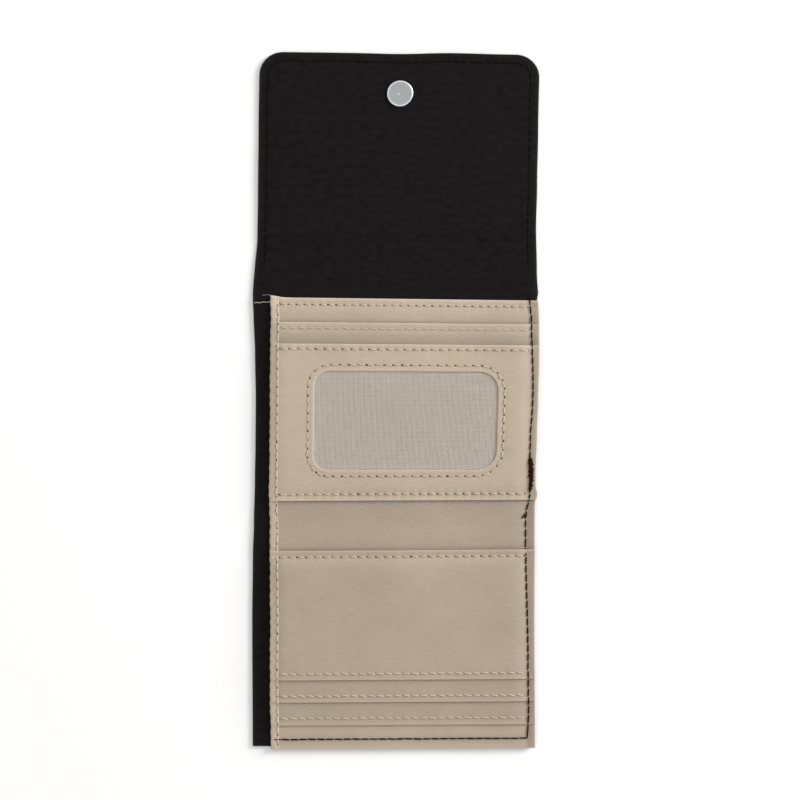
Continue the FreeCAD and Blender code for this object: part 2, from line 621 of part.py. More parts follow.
def make_threads(doc):
    """The straight rows across the halves, and the black row up the right edge with its bartack."""
    inset = "dims.mouth_stitch"
    top_seam = row_across(doc, "liner_top_thread", f"{LINER_TOP} - {inset}", 0)
    strip_run = "(dims.stitch_pitch + dims.stitch_length)"
    stitches_right(top_seam, f"{LEFT} + (dims.liner_left - {strip_run}) / 2", f"{LINER_TOP} - {inset}",
                   NOTE_Z, strip_run)
    row_across(doc, "centre_pocket_thread", f"{CENTRE_MOUTH} - {inset}", 1)
    row_across(doc, "window_mouth_thread", f"{WINDOW_MOUTH} - {inset}", 2)
    row_across(doc, "window_base_thread", f"{WINDOW_BASE} + {inset}", 2)
    row_across(doc, "front_base_thread", f"{FRONT_BASE} - {inset}", 3)
    for i, name in enumerate(("low", "middle", "top")):
        row_across(doc, f"front_{name}_pocket_thread", f"{FRONT_MOUTHS[i]} + {inset}", i + 1)

    tack_low = "(dims.bartack_y - dims.bartack_run / 2)"
    tack_high = "(dims.bartack_y + dims.bartack_run / 2)"
    stitches_up(new_body(doc, "centre_edge_thread"), EDGE_THREAD_X, [
        (CENTRE_LOW, WINDOW_BASE, panel_top(0)),
        (WINDOW_BASE, tack_low, panel_top(2)),
        (tack_high, WINDOW_MOUTH, panel_top(2)),
        (WINDOW_MOUTH, CENTRE_MOUTH, panel_top(1)),
        (CENTRE_MOUTH, LINER_TOP, panel_top(0)),
    ])
    thread_row(new_body(doc, "edge_bartack"), f"{EDGE_THREAD_X} - dims.bartack_bar / 2", tack_low,
               panel_top(2), "V", "dims.bartack_run", "dims.thread_w", "dims.bartack_bar",
               "dims.bartack_pitch")

    low_row = f"({LINER_LOW} + dims.edge_stitch)"
    edge = new_body(doc, "front_edge_thread")
    stitches_up(edge, EDGE_THREAD_X, [
        (low_row, FRONT_MOUTHS[0], panel_top(0)),
        (FRONT_MOUTHS[0], FRONT_MOUTHS[1], panel_top(1)),
        (FRONT_MOUTHS[1], FRONT_MOUTHS[2], panel_top(2)),
        (FRONT_MOUTHS[2], FRONT_BASE, panel_top(3)),
        (FRONT_BASE, FRONT_HIGH, panel_top(0)),
    ])
    start = f"({LINER_LEFT} + dims.hem_width + dims.thread_w)"
    stitches_right(edge, start, low_row, panel_top(0), f"{EDGE_THREAD_X} - {start} - dims.thread_w")


def check_and_write(doc):
    """Checks every object and shape, then writes each sub-part's STEP file."""
    bad = [o.Name for o in doc.Objects if "Invalid" in o.State or "Error" in o.State]
    if bad:
        raise RuntimeError(f"these objects failed: {bad}")
    parts = [o for o in doc.Objects if o.TypeId in ("PartDesign::Body", "Part::Feature")]
    for part in parts:
        if part.Shape.isNull() or not part.Shape.isValid() or not part.Shape.Solids:
            raise RuntimeError(f"{part.Label} has no valid solid")
    os.makedirs("parts", exist_ok=True)
    for part in parts:
        part.Shape.exportStep(os.path.join("parts", f"{part.Label}.step"))
    print(f"{len(parts)} sub-parts, {sum(len(p.Shape.Solids) for p in parts)} solids")


def main():
    """Builds the whole wallet."""
    doc = FreeCAD.newDocument("wallet")
    sheet = make_sheet(doc)
    make_flap(doc, sheet)
    make_snap_plate(doc)
    make_snap_magnet(doc)
    make_spines(doc)
    make_centre(doc, sheet)
    make_front(doc, sheet)
    make_threads(doc)
    doc.recompute()
    check_and_write(doc)


main()
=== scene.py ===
import json
import math

import bpy
import numpy as np
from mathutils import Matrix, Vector


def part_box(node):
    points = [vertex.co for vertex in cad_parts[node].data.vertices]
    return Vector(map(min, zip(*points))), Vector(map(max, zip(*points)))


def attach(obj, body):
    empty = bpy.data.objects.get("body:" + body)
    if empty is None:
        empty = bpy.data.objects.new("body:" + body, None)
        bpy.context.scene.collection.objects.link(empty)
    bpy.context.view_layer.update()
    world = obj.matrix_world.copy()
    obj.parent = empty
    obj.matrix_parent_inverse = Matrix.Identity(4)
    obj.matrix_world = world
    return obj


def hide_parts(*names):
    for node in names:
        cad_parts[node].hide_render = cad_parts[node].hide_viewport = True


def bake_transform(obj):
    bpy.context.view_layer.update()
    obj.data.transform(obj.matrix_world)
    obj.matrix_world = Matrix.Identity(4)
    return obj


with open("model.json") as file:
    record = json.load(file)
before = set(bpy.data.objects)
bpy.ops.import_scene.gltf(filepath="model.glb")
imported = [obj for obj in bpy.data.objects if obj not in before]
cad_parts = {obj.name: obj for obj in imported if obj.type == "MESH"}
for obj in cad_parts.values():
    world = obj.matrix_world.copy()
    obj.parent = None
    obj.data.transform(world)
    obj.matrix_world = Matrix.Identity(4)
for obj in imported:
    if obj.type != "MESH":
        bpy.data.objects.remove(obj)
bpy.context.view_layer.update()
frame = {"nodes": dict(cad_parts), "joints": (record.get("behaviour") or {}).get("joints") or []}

# Lengths in this script are millimetres until a mesh is made. +X is right and +Y is up towards the flap.


def box(node):
    """A CAD node's lowest and highest corner."""
    low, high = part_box(node)
    return np.array(low) * 1000, np.array(high) * 1000


def middle(node):
    low, high = box(node)
    return (low + high) / 2


def joint_y(name):
    return next(np.array(j["pos_m"]) * 1000 for j in frame["joints"] if j["name"] == name)[1]


BODY_LEFT, BODY_BOTTOM = box("front_outer_cloth")[0][:2]
BODY_RIGHT = box("front_outer_cloth")[1][0]
FLAP_LEFT = box("flap_outer_cloth")[0][0]
FLAP_TIP = box("flap_outer_cloth")[1][1]
BACK_FOLD, FRONT_FOLD = joint_y("fold_back_crease"), joint_y("fold_front_crease")
FLAP_NEAR, FLAP_FAR = joint_y("flap_near_crease"), joint_y("flap_far_crease")
FOLD_MIDDLE = (BACK_FOLD + FRONT_FOLD) / 2
FLAP_MIDDLE = (FLAP_NEAR + FLAP_FAR) / 2
CENTRE_CUT = 0.0
BOARD_START = box("flap_board")[0][1]
LINER_LEFT, LINER_BOTTOM = box("front_liner")[0][:2]
LINER_RIGHT, LINER_TOP = box("centre_liner")[1][:2]
LINER_Z = box("centre_liner")[1][2]
LAYER = box("centre_card_pocket")[1][2] - LINER_Z
CLOTH = 0.30
HALF = CLOTH / 2
GAP = LAYER - CLOTH
HEM_EDGE = box("centre_liner_hem")[1][0]
STEPS = ("low", "middle", "top")
CENTRE_PANELS = ("centre_card_pocket", "id_window_panel")
FRONT_PANELS = tuple(f"front_card_pocket_{step}" for step in STEPS)
MOUTHS = {node: box(node)[1][1] for node in CENTRE_PANELS} | {node: box(node)[0][1] for node in FRONT_PANELS}
MAGNET = middle("magnet_case")
SNAP = middle("snap_plate")
ROW_START = box("window_base_thread")[0][0]
ROW_END = middle("centre_edge_thread")[0] - 0.6
ROW_STITCHES, TOP_STITCHES, EDGE_STITCHES, BARTACK_STITCHES = 28, 31, 26, 44
PITCH = (ROW_END - ROW_START) / ROW_STITCHES
TOP_PITCH = (ROW_END - ROW_START) / TOP_STITCHES
EDGE_PITCH = 3.28
HEM_PITCH = 3.35
FOLD_PITCH = 1.9
FLAP_PITCH = 3.0
NET_PITCH = 0.45
NET_CROSSING = 0.035
CAD_STITCH = 0.23  # half the width of a CAD stitch
FLAP_CORNER = 8.5
TAIL = 0.44


def smooth(t):
    t = np.clip(t, 0, 1)
    return t * t * (3 - 2 * t)


def between(v, a, b):
    """0 at a and 1 at b, eased."""
    return smooth((v - a) / (b - a))


def hill(v, at, wide):
    return np.exp(-(((v - at) / wide) ** 2))


def along(v, stops):
    """A value that eases from one (place, value) stop to the next."""
    places, values = np.array(sorted(stops), float).T
    v = np.asarray(v, float)
    i = np.clip(np.searchsorted(places, v) - 1, 0, len(places) - 2)
    t = smooth((v - places[i]) / (places[i + 1] - places[i]))
    return values[i] + (values[i + 1] - values[i]) * t


# How the real wallet lies a little out of true: (y, how far an edge or row is to the right of the CAD's).
# BEIGE_TILT is how steeply the light brown cloth rises to the right, and BEIGE_SLIP how far it moves up.
BLACK_LEFT_SWAY = (
    (128, 0.5), (98, 0.1), (75, -0.1), (61, -0.3), (50, -0.7), (38, -1.0), (30, -0.7), (18, -0.2),
    (0, 0.1), (-16, 0.0), (-30, -0.25), (-46, -0.6), (-58, -1.0), (-82, -1.25), (-128, -1.05),
)
RIGHT_SWAY = (
    (128, 0.4), (100, -0.1), (80, -0.5), (64, -0.9), (48, -0.6), (30, 0.5), (14, 0.5), (0, 0.15),
    (-12, -0.3), (-27, -0.8), (-43, -1.1), (-82, -1.3), (-128, -1.0),
)
BEIGE_LEFT_SWAY = (
    (38, -0.5), (31, -0.15), (14, -0.45), (-12, -0.5), (-33, -0.75), (-50, -0.45), (-84, -0.25),
    (-104, -0.4), (-128, -0.1),
)
BEIGE_TILT = ((39, -0.0125), (20, -0.008), (0, -0.002), (-55, 0.0068), (-128, 0.006))
BEIGE_SLIP = (
    (38, -0.3), (35, -0.4), (29, -0.5), (24, -0.1), (-50, 0.0), (-55.3, -0.45), (-62, -0.15), (-90, 0.1),
    (-118, 0.1), (-124.5, -0.85), (-128.5, -1.15),
)
EDGE_ROW_SWAY = (
    (38, 0.4), (30, 1.1), (4, 1.6), (-18, 0.5), (-30, 0.8), (-37, 0.0), (-43.5, -1.1), (-54, -1.1),
    (-96, -0.3), (-117, 0.0), (-125, -0.5),
)


def share_across(x):
    return np.clip((x - BODY_LEFT) / (BODY_RIGHT - BODY_LEFT), 0, 1)


def lie_black(x, y):
    """Where a point of the black cloth really lies."""
    s = share_across(x)
    right = along(y, RIGHT_SWAY) - 0.75 * (1 - between(y, 36.5, 40))
    over = between(y, 50, 128)
    top = -0.011 * x + 0.35 * hill(x, 18, 14) - 0.3 * hill(x, 2, 12)
    return x + along(y, BLACK_LEFT_SWAY) * (1 - s) + right * s, y + over * top


def lie_beige(x, y):
    s = share_across(x)
    right = along(y, RIGHT_SWAY) + 0.25 * (1 - s)
    shift = along(y, BEIGE_LEFT_SWAY) * (1 - s) + right * s
    bump = 0.75 * hill(y, -35.2, 1.9) * between(s, 0.955, 1.0)
    corner = 0.7 * hill(x, LINER_LEFT, 3.2) * between(y, 34.5, 37.7)
    return x + shift + bump, y + along(y, BEIGE_TILT) * x + along(y, BEIGE_SLIP) + corner


def lie_still(x, y):
    return x, y


def lay(x, y):
    """How far the wallet sags from the magnet to the table, with the long waves of soft cloth."""
    away = np.hypot(x - MAGNET[0], y - MAGNET[1])
    sag = -0.66 * (1 - hill(away, 0, 17))
    wave = 0.05 * np.sin(x / 9.0 + 1.3 + y / 31) + 0.045 * np.sin(y / 7.5 + 0.6 - x / 24)
    wave = wave + 0.03 * np.sin((x + y) / 5.2 + 2.0)
    return sag + wave * between(away, 6, 20)


# ---- meshes ----


def mesh_piece(name, points, faces, uv, lie, material, flat=(), wear=None, tone=None):
    """Makes a mesh object from points in millimetres before they are laid out of true."""
    points = np.array(points, float)
    x, y = lie(points[:, 0], points[:, 1])
    z = points[:, 2] + lay(points[:, 0], points[:, 1])
    places = np.stack([x, y, z], axis=1) / 1000
    mesh = bpy.data.meshes.new(name)
    mesh.from_pydata(places.tolist(), [], faces)
    smooth_faces = np.ones(len(mesh.polygons), bool)
    smooth_faces[list(flat)] = False
    mesh.polygons.foreach_set("use_smooth", smooth_faces)
    layer = mesh.uv_layers.new(name="cloth")
    corners = np.zeros(len(mesh.loops), np.int32)
    mesh.loops.foreach_get("vertex_index", corners)
    layer.data.foreach_set("uv", (np.array(uv, float)[corners] / 1000).astype(np.float32).ravel())
    for key, values in (("wear", wear), ("tone", tone)):
        if values is not None:
            attribute = mesh.attributes.new(key, "FLOAT", "POINT")
            attribute.data.foreach_set("value", np.asarray(values, np.float32).ravel())
    mesh.materials.append(material)
    mesh.update()
    piece = bpy.data.objects.new(name, mesh)
    bpy.context.scene.collection.objects.link(piece)
    return piece


def ends_first(length, start, end, step):
    """Places from 0 to length: close together at the two ends and step apart between them."""
    start, end = np.array(start), length - np.array(end)[::-1]
    count = max(2, int(round((end[0] - start[-1]) / step)) + 1)
    return np.concatenate([start, np.linspace(start[-1], end[0], count)[1:-1], end])


ROUNDED = (0, 0.02, 0.06, 0.12, 0.2, 0.35, 0.6, 0.95, 1.4, 1.9)
CUT = (0, 0.5 * TAIL, 0.78 * TAIL, 0.93 * TAIL, TAIL)


def edge_rounding(distance, half, roll=0.0):
    """Half the cloth's thickness: round at its very edge, and fuller near it where it is rolled."""
    t = np.clip(distance / (1.25 * half), 0, 1)
    full = half * (1 + roll * hill(distance, 0.75, 0.75))
    return full * np.sqrt(np.clip(1 - (1 - t) ** 2, 0, 1))


def cloth_panel(name, sides, height, half, lie, material, cut="", step=0.75, extra=(), corner=0.0,
                roll=0.0, tone=None):
    """A closed sheet of cloth between sides (left, right, low, high). cut names its sides that carry on in
    another piece, where a thinner tail goes into that piece. left and right may be functions of y, and height
    gives the top face's height."""
    left, right, low, high = sides
    cut_low, cut_high = low, high
    low, high = low - TAIL * ("b" in cut), high + TAIL * ("t" in cut)
    rows = ends_first(high - low, CUT if "b" in cut else ROUNDED, CUT if "t" in cut else ROUNDED, step) + low
    if corner:
        turned_rows = high - corner + corner * np.sin(np.linspace(0, math.pi / 2, 22))
        rows = np.append(rows[rows < high - corner], turned_rows)
    rows = np.unique(np.round(np.append(rows, extra), 4))
    left_of = np.array([left(y) if callable(left) else left for y in rows])
    right_of = np.array([right(y) if callable(right) else right for y in rows])
    widest = float((right_of - left_of).max())
    share = ends_first(widest, ROUNDED, ROUNDED, step) / widest
    turn = np.clip(rows - (high - corner), 0, corner)
    inset = corner - np.sqrt(np.clip(corner**2 - turn**2, 0, None))
    x = (left_of + inset)[:, None] + (right_of - left_of - 2 * inset)[:, None] * share[None, :]
    y = np.repeat(rows[:, None], len(share), axis=1)
    from_side = np.minimum(x - left_of[:, None], right_of[:, None] - x)
    from_top = np.full_like(x, 99.0) if "t" in cut else high - y
    from_low = np.full_like(x, 99.0) if "b" in cut else y - low
    distance = np.minimum(np.minimum(from_side, from_top), from_low)
    if corner:
        near = (from_side < corner) & (from_top < corner)
        bend = corner - np.hypot(corner - from_side, corner - from_top)
        distance = np.where(near, np.minimum(distance, bend), distance)
    distance = np.clip(distance, 0, None)
    thick = edge_rounding(distance, half, roll)
    tail = np.clip(np.maximum(cut_low - y, y - cut_high) / TAIL, 0, 1) if cut else 0
    thick = thick * (1 - 0.34 * tail**2)
    shared = np.zeros(x.shape, bool)
    shared[:, 0] = shared[:, -1] = True
    shared[0, :] |= "b" not in cut
    shared[-1, :] |= "t" not in cut
    points, upper, lower = two_faces(x, y, height(x, y) - half, thick, shared)
    faces = quads(upper) + quads(lower[:, ::-1])
    flat = []
    for side, row, flip in (("b", 0, False), ("t", -1, True)):
        if side in cut:
            strip = np.stack([lower[row], upper[row]])
            strip = strip[:, ::-1] if flip else strip
            made = [tuple(dict.fromkeys(f)) for f in quads(strip)]
            flat += range(len(faces), len(faces) + len(made))
            faces += made
    return sheet_piece(name, points, faces, distance, shared, lie, material, flat, tone)


def two_faces(x, y, centre, thick, shared):
    """The points of a closed sheet and their numbers on its two faces, which share the points of its edge."""
    thick = np.where(shared, 0, thick)
    upper = np.arange(x.size).reshape(x.shape)
    lower = upper.copy()
    lower[~shared] = x.size + np.arange(int((~shared).sum()))
    over = np.stack([x, y, centre + thick], axis=-1).reshape(-1, 3)
    under = np.stack([x, y, centre - thick], axis=-1)[~shared]
    return np.concatenate([over, under]), upper, lower


def sheet_piece(name, points, faces, distance, shared, lie, material, flat, tone):
    """A sheet's mesh object, with wear along its edges."""
    worn = np.exp(-distance / 0.5)
    worn = np.concatenate([worn.ravel(), worn[~shared]])
    colour_and_shade_factors = np.ones(len(points)) if tone is None else tone(points[:, 0], points[:, 1])
    return mesh_piece(name, points, faces, points[:, :2], lie, material, flat, worn, colour_and_shade_factors)


def quads(grid):
    a, b, c, d = grid[:-1, :-1], grid[:-1, 1:], grid[1:, 1:], grid[1:, :-1]
    return [tuple(f) for f in np.stack([a, b, c, d], axis=-1).reshape(-1, 4).tolist()]


def rounded_loop(x0, x1, y0, y1, left_radius, right_radius, count):
    """A loop round a rectangle with rounded corners, as four runs from corner middle to corner middle."""
    corners = [
        (x1 - right_radius, y1 - right_radius, right_radius, 0),
        (x0 + left_radius, y1 - left_radius, left_radius, 90),
        (x0 + left_radius, y0 + left_radius, left_radius, 180),
        (x1 - right_radius, y0 + right_radius, right_radius, 270),
    ]
    runs = []
    for k in range(4):
        a, b = corners[k], corners[(k + 1) % 4]
        first = np.radians(np.linspace(a[3] + 45, a[3] + 90, 12))
        second = np.radians(np.linspace(b[3], b[3] + 45, 12))
        path = np.concatenate([
            np.stack([a[0] + a[2] * np.cos(first), a[1] + a[2] * np.sin(first)], axis=1),
            np.stack([b[0] + b[2] * np.cos(second), b[1] + b[2] * np.sin(second)], axis=1),
        ])
        runs.append(resample(path, count[k % 2])[:-1])
    return np.concatenate(runs)


def resample(path, count):
    steps = np.append(0, np.cumsum(np.hypot(*np.diff(path, axis=0).T)))
    at = np.linspace(0, steps[-1], count)
    return np.stack([np.interp(at, steps, path[:, k]) for k in range(2)], axis=1)


def frame_panel(name, outer, inner, height, half, lie, material, roll, tone):
    """A closed sheet of cloth with a window in it: a ring of points from the window out to the edge."""
    count = (150, 70)
    hole = rounded_loop(*inner, count)
    x0, x1, y0, y1 = outer
    corners = np.array([(x1, y1), (x0, y1), (x0, y0), (x1, y0), (x1, y1)])
    rim = np.concatenate([resample(corners[k:k + 2], count[k % 2])[:-1] for k in range(4)])
    reach = np.hypot(*(rim - hole).T)
    near = np.array(ROUNDED + (2.3, 2.8, 3.4, 4.2))
    far = np.array(ROUNDED + (2.4, 3.0, 3.8))[::-1]
    inside = np.linspace(0, 1, 8)[1:-1]
    steps = np.concatenate([
        np.repeat(near[:, None], len(hole), axis=1),
        near[-1] + (reach - far[0] - near[-1])[None, :] * inside[:, None],
        reach[None, :] - far[:, None],
    ])
    x = hole[:, 0] + (rim - hole)[:, 0] / reach * steps
    y = hole[:, 1] + (rim - hole)[:, 1] / reach * steps
    from_rim = np.minimum(np.minimum(x - x0, x1 - x), np.minimum(y - y0, y1 - y))
    distance = np.clip(np.minimum(from_rim, steps), 0, None)
    shared = np.zeros(x.shape, bool)
    shared[0] = shared[-1] = True
    points, upper, lower = two_faces(x, y, height(x, y) - half, edge_rounding(distance, half, roll), shared)
    faces = quads(closed(upper)[:, ::-1]) + quads(closed(lower))
    return sheet_piece(name, points, faces, distance, shared, lie, material, (), tone)


def closed(grid):
    """A grid of points whose first column is also its last, as round a tube."""
    return np.concatenate([grid, grid[:, :1]], axis=1)


def tube(path, radius, sides=7):
    """Points and faces of a thread along a path of (x, y, z), with a radius at each point."""
    path = np.array(path, float)
    radius = np.broadcast_to(radius, len(path))
    way = np.gradient(path, axis=0)
    way /= np.linalg.norm(way, axis=1)[:, None]
    side = np.cross(way, (0.0, 0.0, 1.0))
    weak = np.linalg.norm(side, axis=1) < 1e-6
    side[weak] = (1.0, 0.0, 0.0)
    side /= np.linalg.norm(side, axis=1)[:, None]
    up = np.cross(side, way)
    turn = np.linspace(0, 2 * math.pi, sides, endpoint=False)
    ring = np.cos(turn)[None, :, None] * side[:, None, :] + np.sin(turn)[None, :, None] * up[:, None, :]
    points = (path[:, None, :] + ring * radius[:, None, None]).reshape(-1, 3)
    grid = np.arange(len(points)).reshape(len(path), sides)
    faces = quads(closed(grid)) + [tuple(grid[0][::-1].tolist()), tuple(grid[-1].tolist())]
    length = np.append(0, np.cumsum(np.linalg.norm(np.diff(path, axis=0), axis=1)))
    uv = np.stack([np.repeat(length, sides), np.tile(turn / math.pi * 0.25, len(path))], axis=1)
    return points, faces, uv


def gathered(parts):
    """One set of points, faces and UVs from many."""
    points, faces, uv, at = [], [], [], 0
    for p, f, u in parts:
        points.append(p)
        faces += [tuple(i + at for i in face) for face in f]
        uv.append(u)
        at += len(p)
    return np.concatenate(points), faces, np.concatenate(uv)


def stitch(a, b, top, radius, slant, arch, sink, inset=0.0):
    """One stitch from hole a to hole b, sinking into the cloth at both, a little inside the holes."""
    t = np.array([0.0, 0.05, 0.14, 0.3, 0.5, 0.7, 0.86, 0.95, 1.0])
    lift = np.array([-1.0, -0.25, 0.45, 0.85, 1.0, 0.85, 0.45, -0.25, -1.0])
    way = (b - a) / max(np.hypot(*(b - a)), 1e-6)
    normal = np.array([-way[1], way[0]])
    a, b = a + way * inset, b - way * inset
    flat = a + (b - a) * t[:, None] + normal * (slant * (0.5 - t))[:, None]
    z = top(flat[:, 0], flat[:, 1]) + np.where(lift < 0, sink * lift, arch * lift)
    full = radius * np.array([0.6, 0.8, 0.95, 1.0, 1.04, 1.0, 0.95, 0.8, 0.6])
    return tube(np.column_stack([flat, z]), full)


def stitch_row(name, runs, top, radius, lie, material, arch=0.12, sink=0.22, slant=0.16, inset=0.2, seed=1):
    """All the stitches of a row. runs are lists of needle holes."""
    chance = np.random.default_rng(seed)
    parts = []
    for holes in runs:
        holes = np.array(holes, float)
        holes = holes + chance.normal(0, 0.045, holes.shape)
        for a, b in zip(holes[:-1], holes[1:]):
            size = radius * (1 + chance.normal(0, 0.05))
            lean = slant * (1 + chance.normal(0, 0.35))
            parts.append(stitch(a, b, top, size, lean, arch * (1 + chance.normal(0, 0.2)), sink, inset))
    points, faces, uv = gathered(parts)
    return mesh_piece(name, points, faces, uv, lie, material)


def marks(name, holes, top, size, lie, material, seed=4):
    """Small spots at needle holes, longer along the row than across it, whose rims go into the cloth. Dark
    ones are painted shade where the needle's holes are, and pale ones the lower thread.
    """
    chance = np.random.default_rng(seed)
    turn = np.linspace(0, 2 * math.pi, 10, endpoint=False)
    parts = []
    for x, y, way in holes:
        big = size * (1 + chance.normal(0, 0.14))
        rings = []
        for share, lift in ((1.0, -0.03), (0.72, 0.045)):
            along_row, across = 1.15 * share * big * np.cos(turn), 0.8 * share * big * np.sin(turn)
            px = x + along_row * math.cos(way) - across * math.sin(way)
            py = y + along_row * math.sin(way) + across * math.cos(way)
            rings.append(np.column_stack([px, py, top(px, py) + lift]))
        centre = np.array([[x, y, float(top(np.array([x]), np.array([y]))[0]) + 0.03]])
        points = np.concatenate([*rings, centre])
        faces = [(i, (i + 1) % 10, 10 + (i + 1) % 10, 10 + i) for i in range(10)]
        faces += [(10 + i, 10 + (i + 1) % 10, 20) for i in range(10)]
        parts.append((points, faces, points[:, :2]))
    points, faces, uv = gathered(parts)
    return mesh_piece(name, points, faces, uv, lie, material)


def turned(name, centre, profile, lie, material, segments=72):
    """A round piece turned about a vertical axis through centre. The profile runs from its axis outwards."""
    turn = np.linspace(0, 2 * math.pi, segments, endpoint=False)
    rings = [(r, z) for r, z in profile if r > 0]
    points = [(centre[0], centre[1], profile[0][1])]
    for r, z in rings:
        points += [(centre[0] + r * math.cos(a), centre[1] + r * math.sin(a), z) for a in turn]
    grid = np.arange(1, len(points)).reshape(len(rings), segments)
    faces = quads(closed(grid)[:, ::-1])
    first, last = grid[0], grid[-1]
    faces += [(0, int(first[i]), int(first[(i + 1) % segments])) for i in range(segments)]
    if profile[-1][0] == 0:
        points.append((centre[0], centre[1], profile[-1][1]))
        end = len(points) - 1
        faces += [(end, int(last[(i + 1) % segments]), int(last[i])) for i in range(segments)]
    else:
        faces.append(tuple(last[::-1].tolist()))
    points = np.array(points)
    rigid = points.copy()
    sag = lay(np.array([centre[0]]), np.array([centre[1]]))[0]
    rigid[:, 2] += sag - lay(points[:, 0], points[:, 1])
    return mesh_piece(name, rigid, faces, points[:, :2], lie, material)


# ---- materials ----

SPECULAR, SHEEN = "Specular IOR Level", "Sheen Weight"


def new_material(name):
    material = bpy.data.materials.new(name)
    material.use_nodes = True
    return material, material.node_tree


def fill(tree, node, inputs):
    """Links a node's inputs to other nodes' outputs, or sets their values."""
    for key, value in inputs.items():
        if isinstance(value, bpy.types.NodeSocket):
            tree.links.new(value, node.inputs[key])
        else:
            node.inputs[key].default_value = value


def add(tree, kind, inputs, output=0, **settings):
    """Adds a node, fills its inputs, and gives back one of its outputs."""
    node = tree.nodes.new("ShaderNode" + kind)
    for key, value in settings.items():
        setattr(node, key, value)
    fill(tree, node, inputs)
    return node.outputs[output]


def calc(tree, operation, a, b=0.0, c=0.0):
    return add(tree, "Math", {0: a, 1: b, 2: c}, operation=operation)


def times(tree, a, b):
    return calc(tree, "MULTIPLY", a, b)


def vector(tree, operation, a, b, output=0):
    second = "Scale" if operation == "SCALE" else 1
    return add(tree, "VectorMath", {0: a, second: b}, output, operation=operation)


def cloth_places(tree):
    """The cloth's own flat coordinates, in millimetres."""
    return vector(tree, "SCALE", add(tree, "UVMap", {}, uv_map="cloth"), 1000.0)


def ribs(tree, places, degrees, pitch, phase=0.0):
    """Waves across the cloth: 0 in a groove and 1 on a rib."""
    turn = math.radians(degrees)
    way = (2 * math.pi / pitch * math.cos(turn), 2 * math.pi / pitch * math.sin(turn), 0.0)
    at = vector(tree, "DOT_PRODUCT", places, way, output=1)
    return calc(tree, "MULTIPLY_ADD", calc(tree, "SINE", calc(tree, "ADD", at, phase)), 0.5, 0.5)


def noise(tree, places, scale, detail=3.0, output=0):
    return add(tree, "TexNoise", {"Vector": places, "Scale": scale, "Detail": detail}, output)


def ranged(tree, value, low, high, to_low=0.0, to_high=1.0):
    return add(tree, "MapRange", {0: value, 1: low, 2: high, 3: to_low, 4: to_high})


def mixed(tree, amount, a, b, blend="MIX"):
    return add(tree, "MixRGB", {0: amount, 1: a, 2: b}, blend_type=blend)


def tinted(tree, colour, by):
    return mixed(tree, 1.0, colour, by, "MULTIPLY")


def painted(tree, name):
    """A value that mesh_piece stored at the mesh's points."""
    return add(tree, "Attribute", {}, 2, attribute_name=name)


def wobble(tree, places, amount):
    """The cloth's coordinates, pushed about a little so that no yarn is quite straight."""
    push = vector(tree, "SUBTRACT", noise(tree, places, 0.9, 2.0, output=1), (0.5, 0.5, 0.5))
    return vector(tree, "ADD", places, vector(tree, "SCALE", push, amount))


def shaded(material, colour, roughness, bump=None, others=()):
    """The material with its shader filled. bump is a height, its depth in millimetres and its strength."""
    inputs = {"Base Color": colour, "Roughness": roughness, **dict(others)}
    tree = material.node_tree
    if bump:
        height, depth, strength = bump
        bumps = {"Height": height, "Distance": depth / 1000, "Strength": strength}
        inputs["Normal"] = add(tree, "Bump", bumps)
    fill(tree, tree.nodes["Principled BSDF"], inputs)
    return material


def grey(value):
    return (value, value, value, 1.0)


def brighter(colour, by):
    return tuple(by * c for c in colour[:3]) + (1.0,)


def twill(name, ridge, groove, soil):
    """Light brown twill with fine diagonal ribs. Its grooves are painted darker than its ribs, as shade."""
    material, tree = new_material(name)
    flat = cloth_places(tree)
    places = wobble(tree, flat, 0.30)
    yarn = ribs(tree, places, 33, 0.60, 0.8)
    weave = times(tree, ribs(tree, places, -42, 0.64), calc(tree, "MULTIPLY_ADD", yarn, 0.45, 0.55))
    plain = ranged(tree, noise(tree, flat, 0.055), 0.40, 0.60, 0.15, 0.62)
    # Painted shade: the groove colour in the twill's grooves, the ridge colour on its ribs.
    colour = mixed(tree, mixed(tree, plain, weave, grey(0.42)), groove, ridge)
    cloud = ranged(tree, noise(tree, flat, 0.10), 0.35, 0.68)
    colour = mixed(tree, times(tree, cloud, 0.38), colour, soil)
    slub = noise(tree, vector(tree, "MULTIPLY", flat, (0.25, 2.6, 1.0)), 1.1)
    colour = tinted(tree, colour, ranged(tree, slub, 0.35, 0.7, 0.94, 1.05))
    colour = tinted(tree, colour, painted(tree, "tone"))
    colour = mixed(tree, times(tree, painted(tree, "wear"), 0.35), colour, brighter(ridge, 1.16))
    roughness = ranged(tree, noise(tree, flat, 0.6), 0.3, 0.7, 0.72, 0.88)
    return shaded(material, colour, roughness, (weave, 0.09, 0.85),
                  {SPECULAR: 0.25, SHEEN: 0.12, "Sheen Roughness": 0.6})


def plain_weave(name, high, low, pitch, roughness):
    """Black cloth: a fine plain weave with paler specks of lint and wear at its folded edges. The weave's
    crests are painted brighter, as a highlight.
    """
    material, tree = new_material(name)
    flat = cloth_places(tree)
    places = wobble(tree, flat, 0.25)
    weave = times(tree, ribs(tree, places, 0, pitch), ribs(tree, places, 90, pitch * 1.15))
    streak = noise(tree, vector(tree, "MULTIPLY", flat, (0.55, 1.0, 1.0)), 0.55, 5.0)
    colour = mixed(tree, ranged(tree, streak, 0.3, 0.75), low, high)
    # Painted highlight: the weave's crests are made half again brighter.
    colour = mixed(tree, times(tree, weave, 0.4), colour, brighter(high, 1.5))
    lint = ranged(tree, noise(tree, flat, 2.3, 4.0), 0.68, 0.80, 0.0, 0.14)
    colour = mixed(tree, lint, colour, (0.16, 0.15, 0.15, 1.0))
    colour = mixed(tree, times(tree, painted(tree, "wear"), 0.25), colour, (0.05, 0.045, 0.043, 1.0))
    roughness = ranged(tree, streak, 0.3, 0.7, roughness - 0.06, roughness + 0.06)
    return shaded(material, colour, roughness, (weave, 0.05, 0.6), {SPECULAR: 0.06, SHEEN: 0.006})


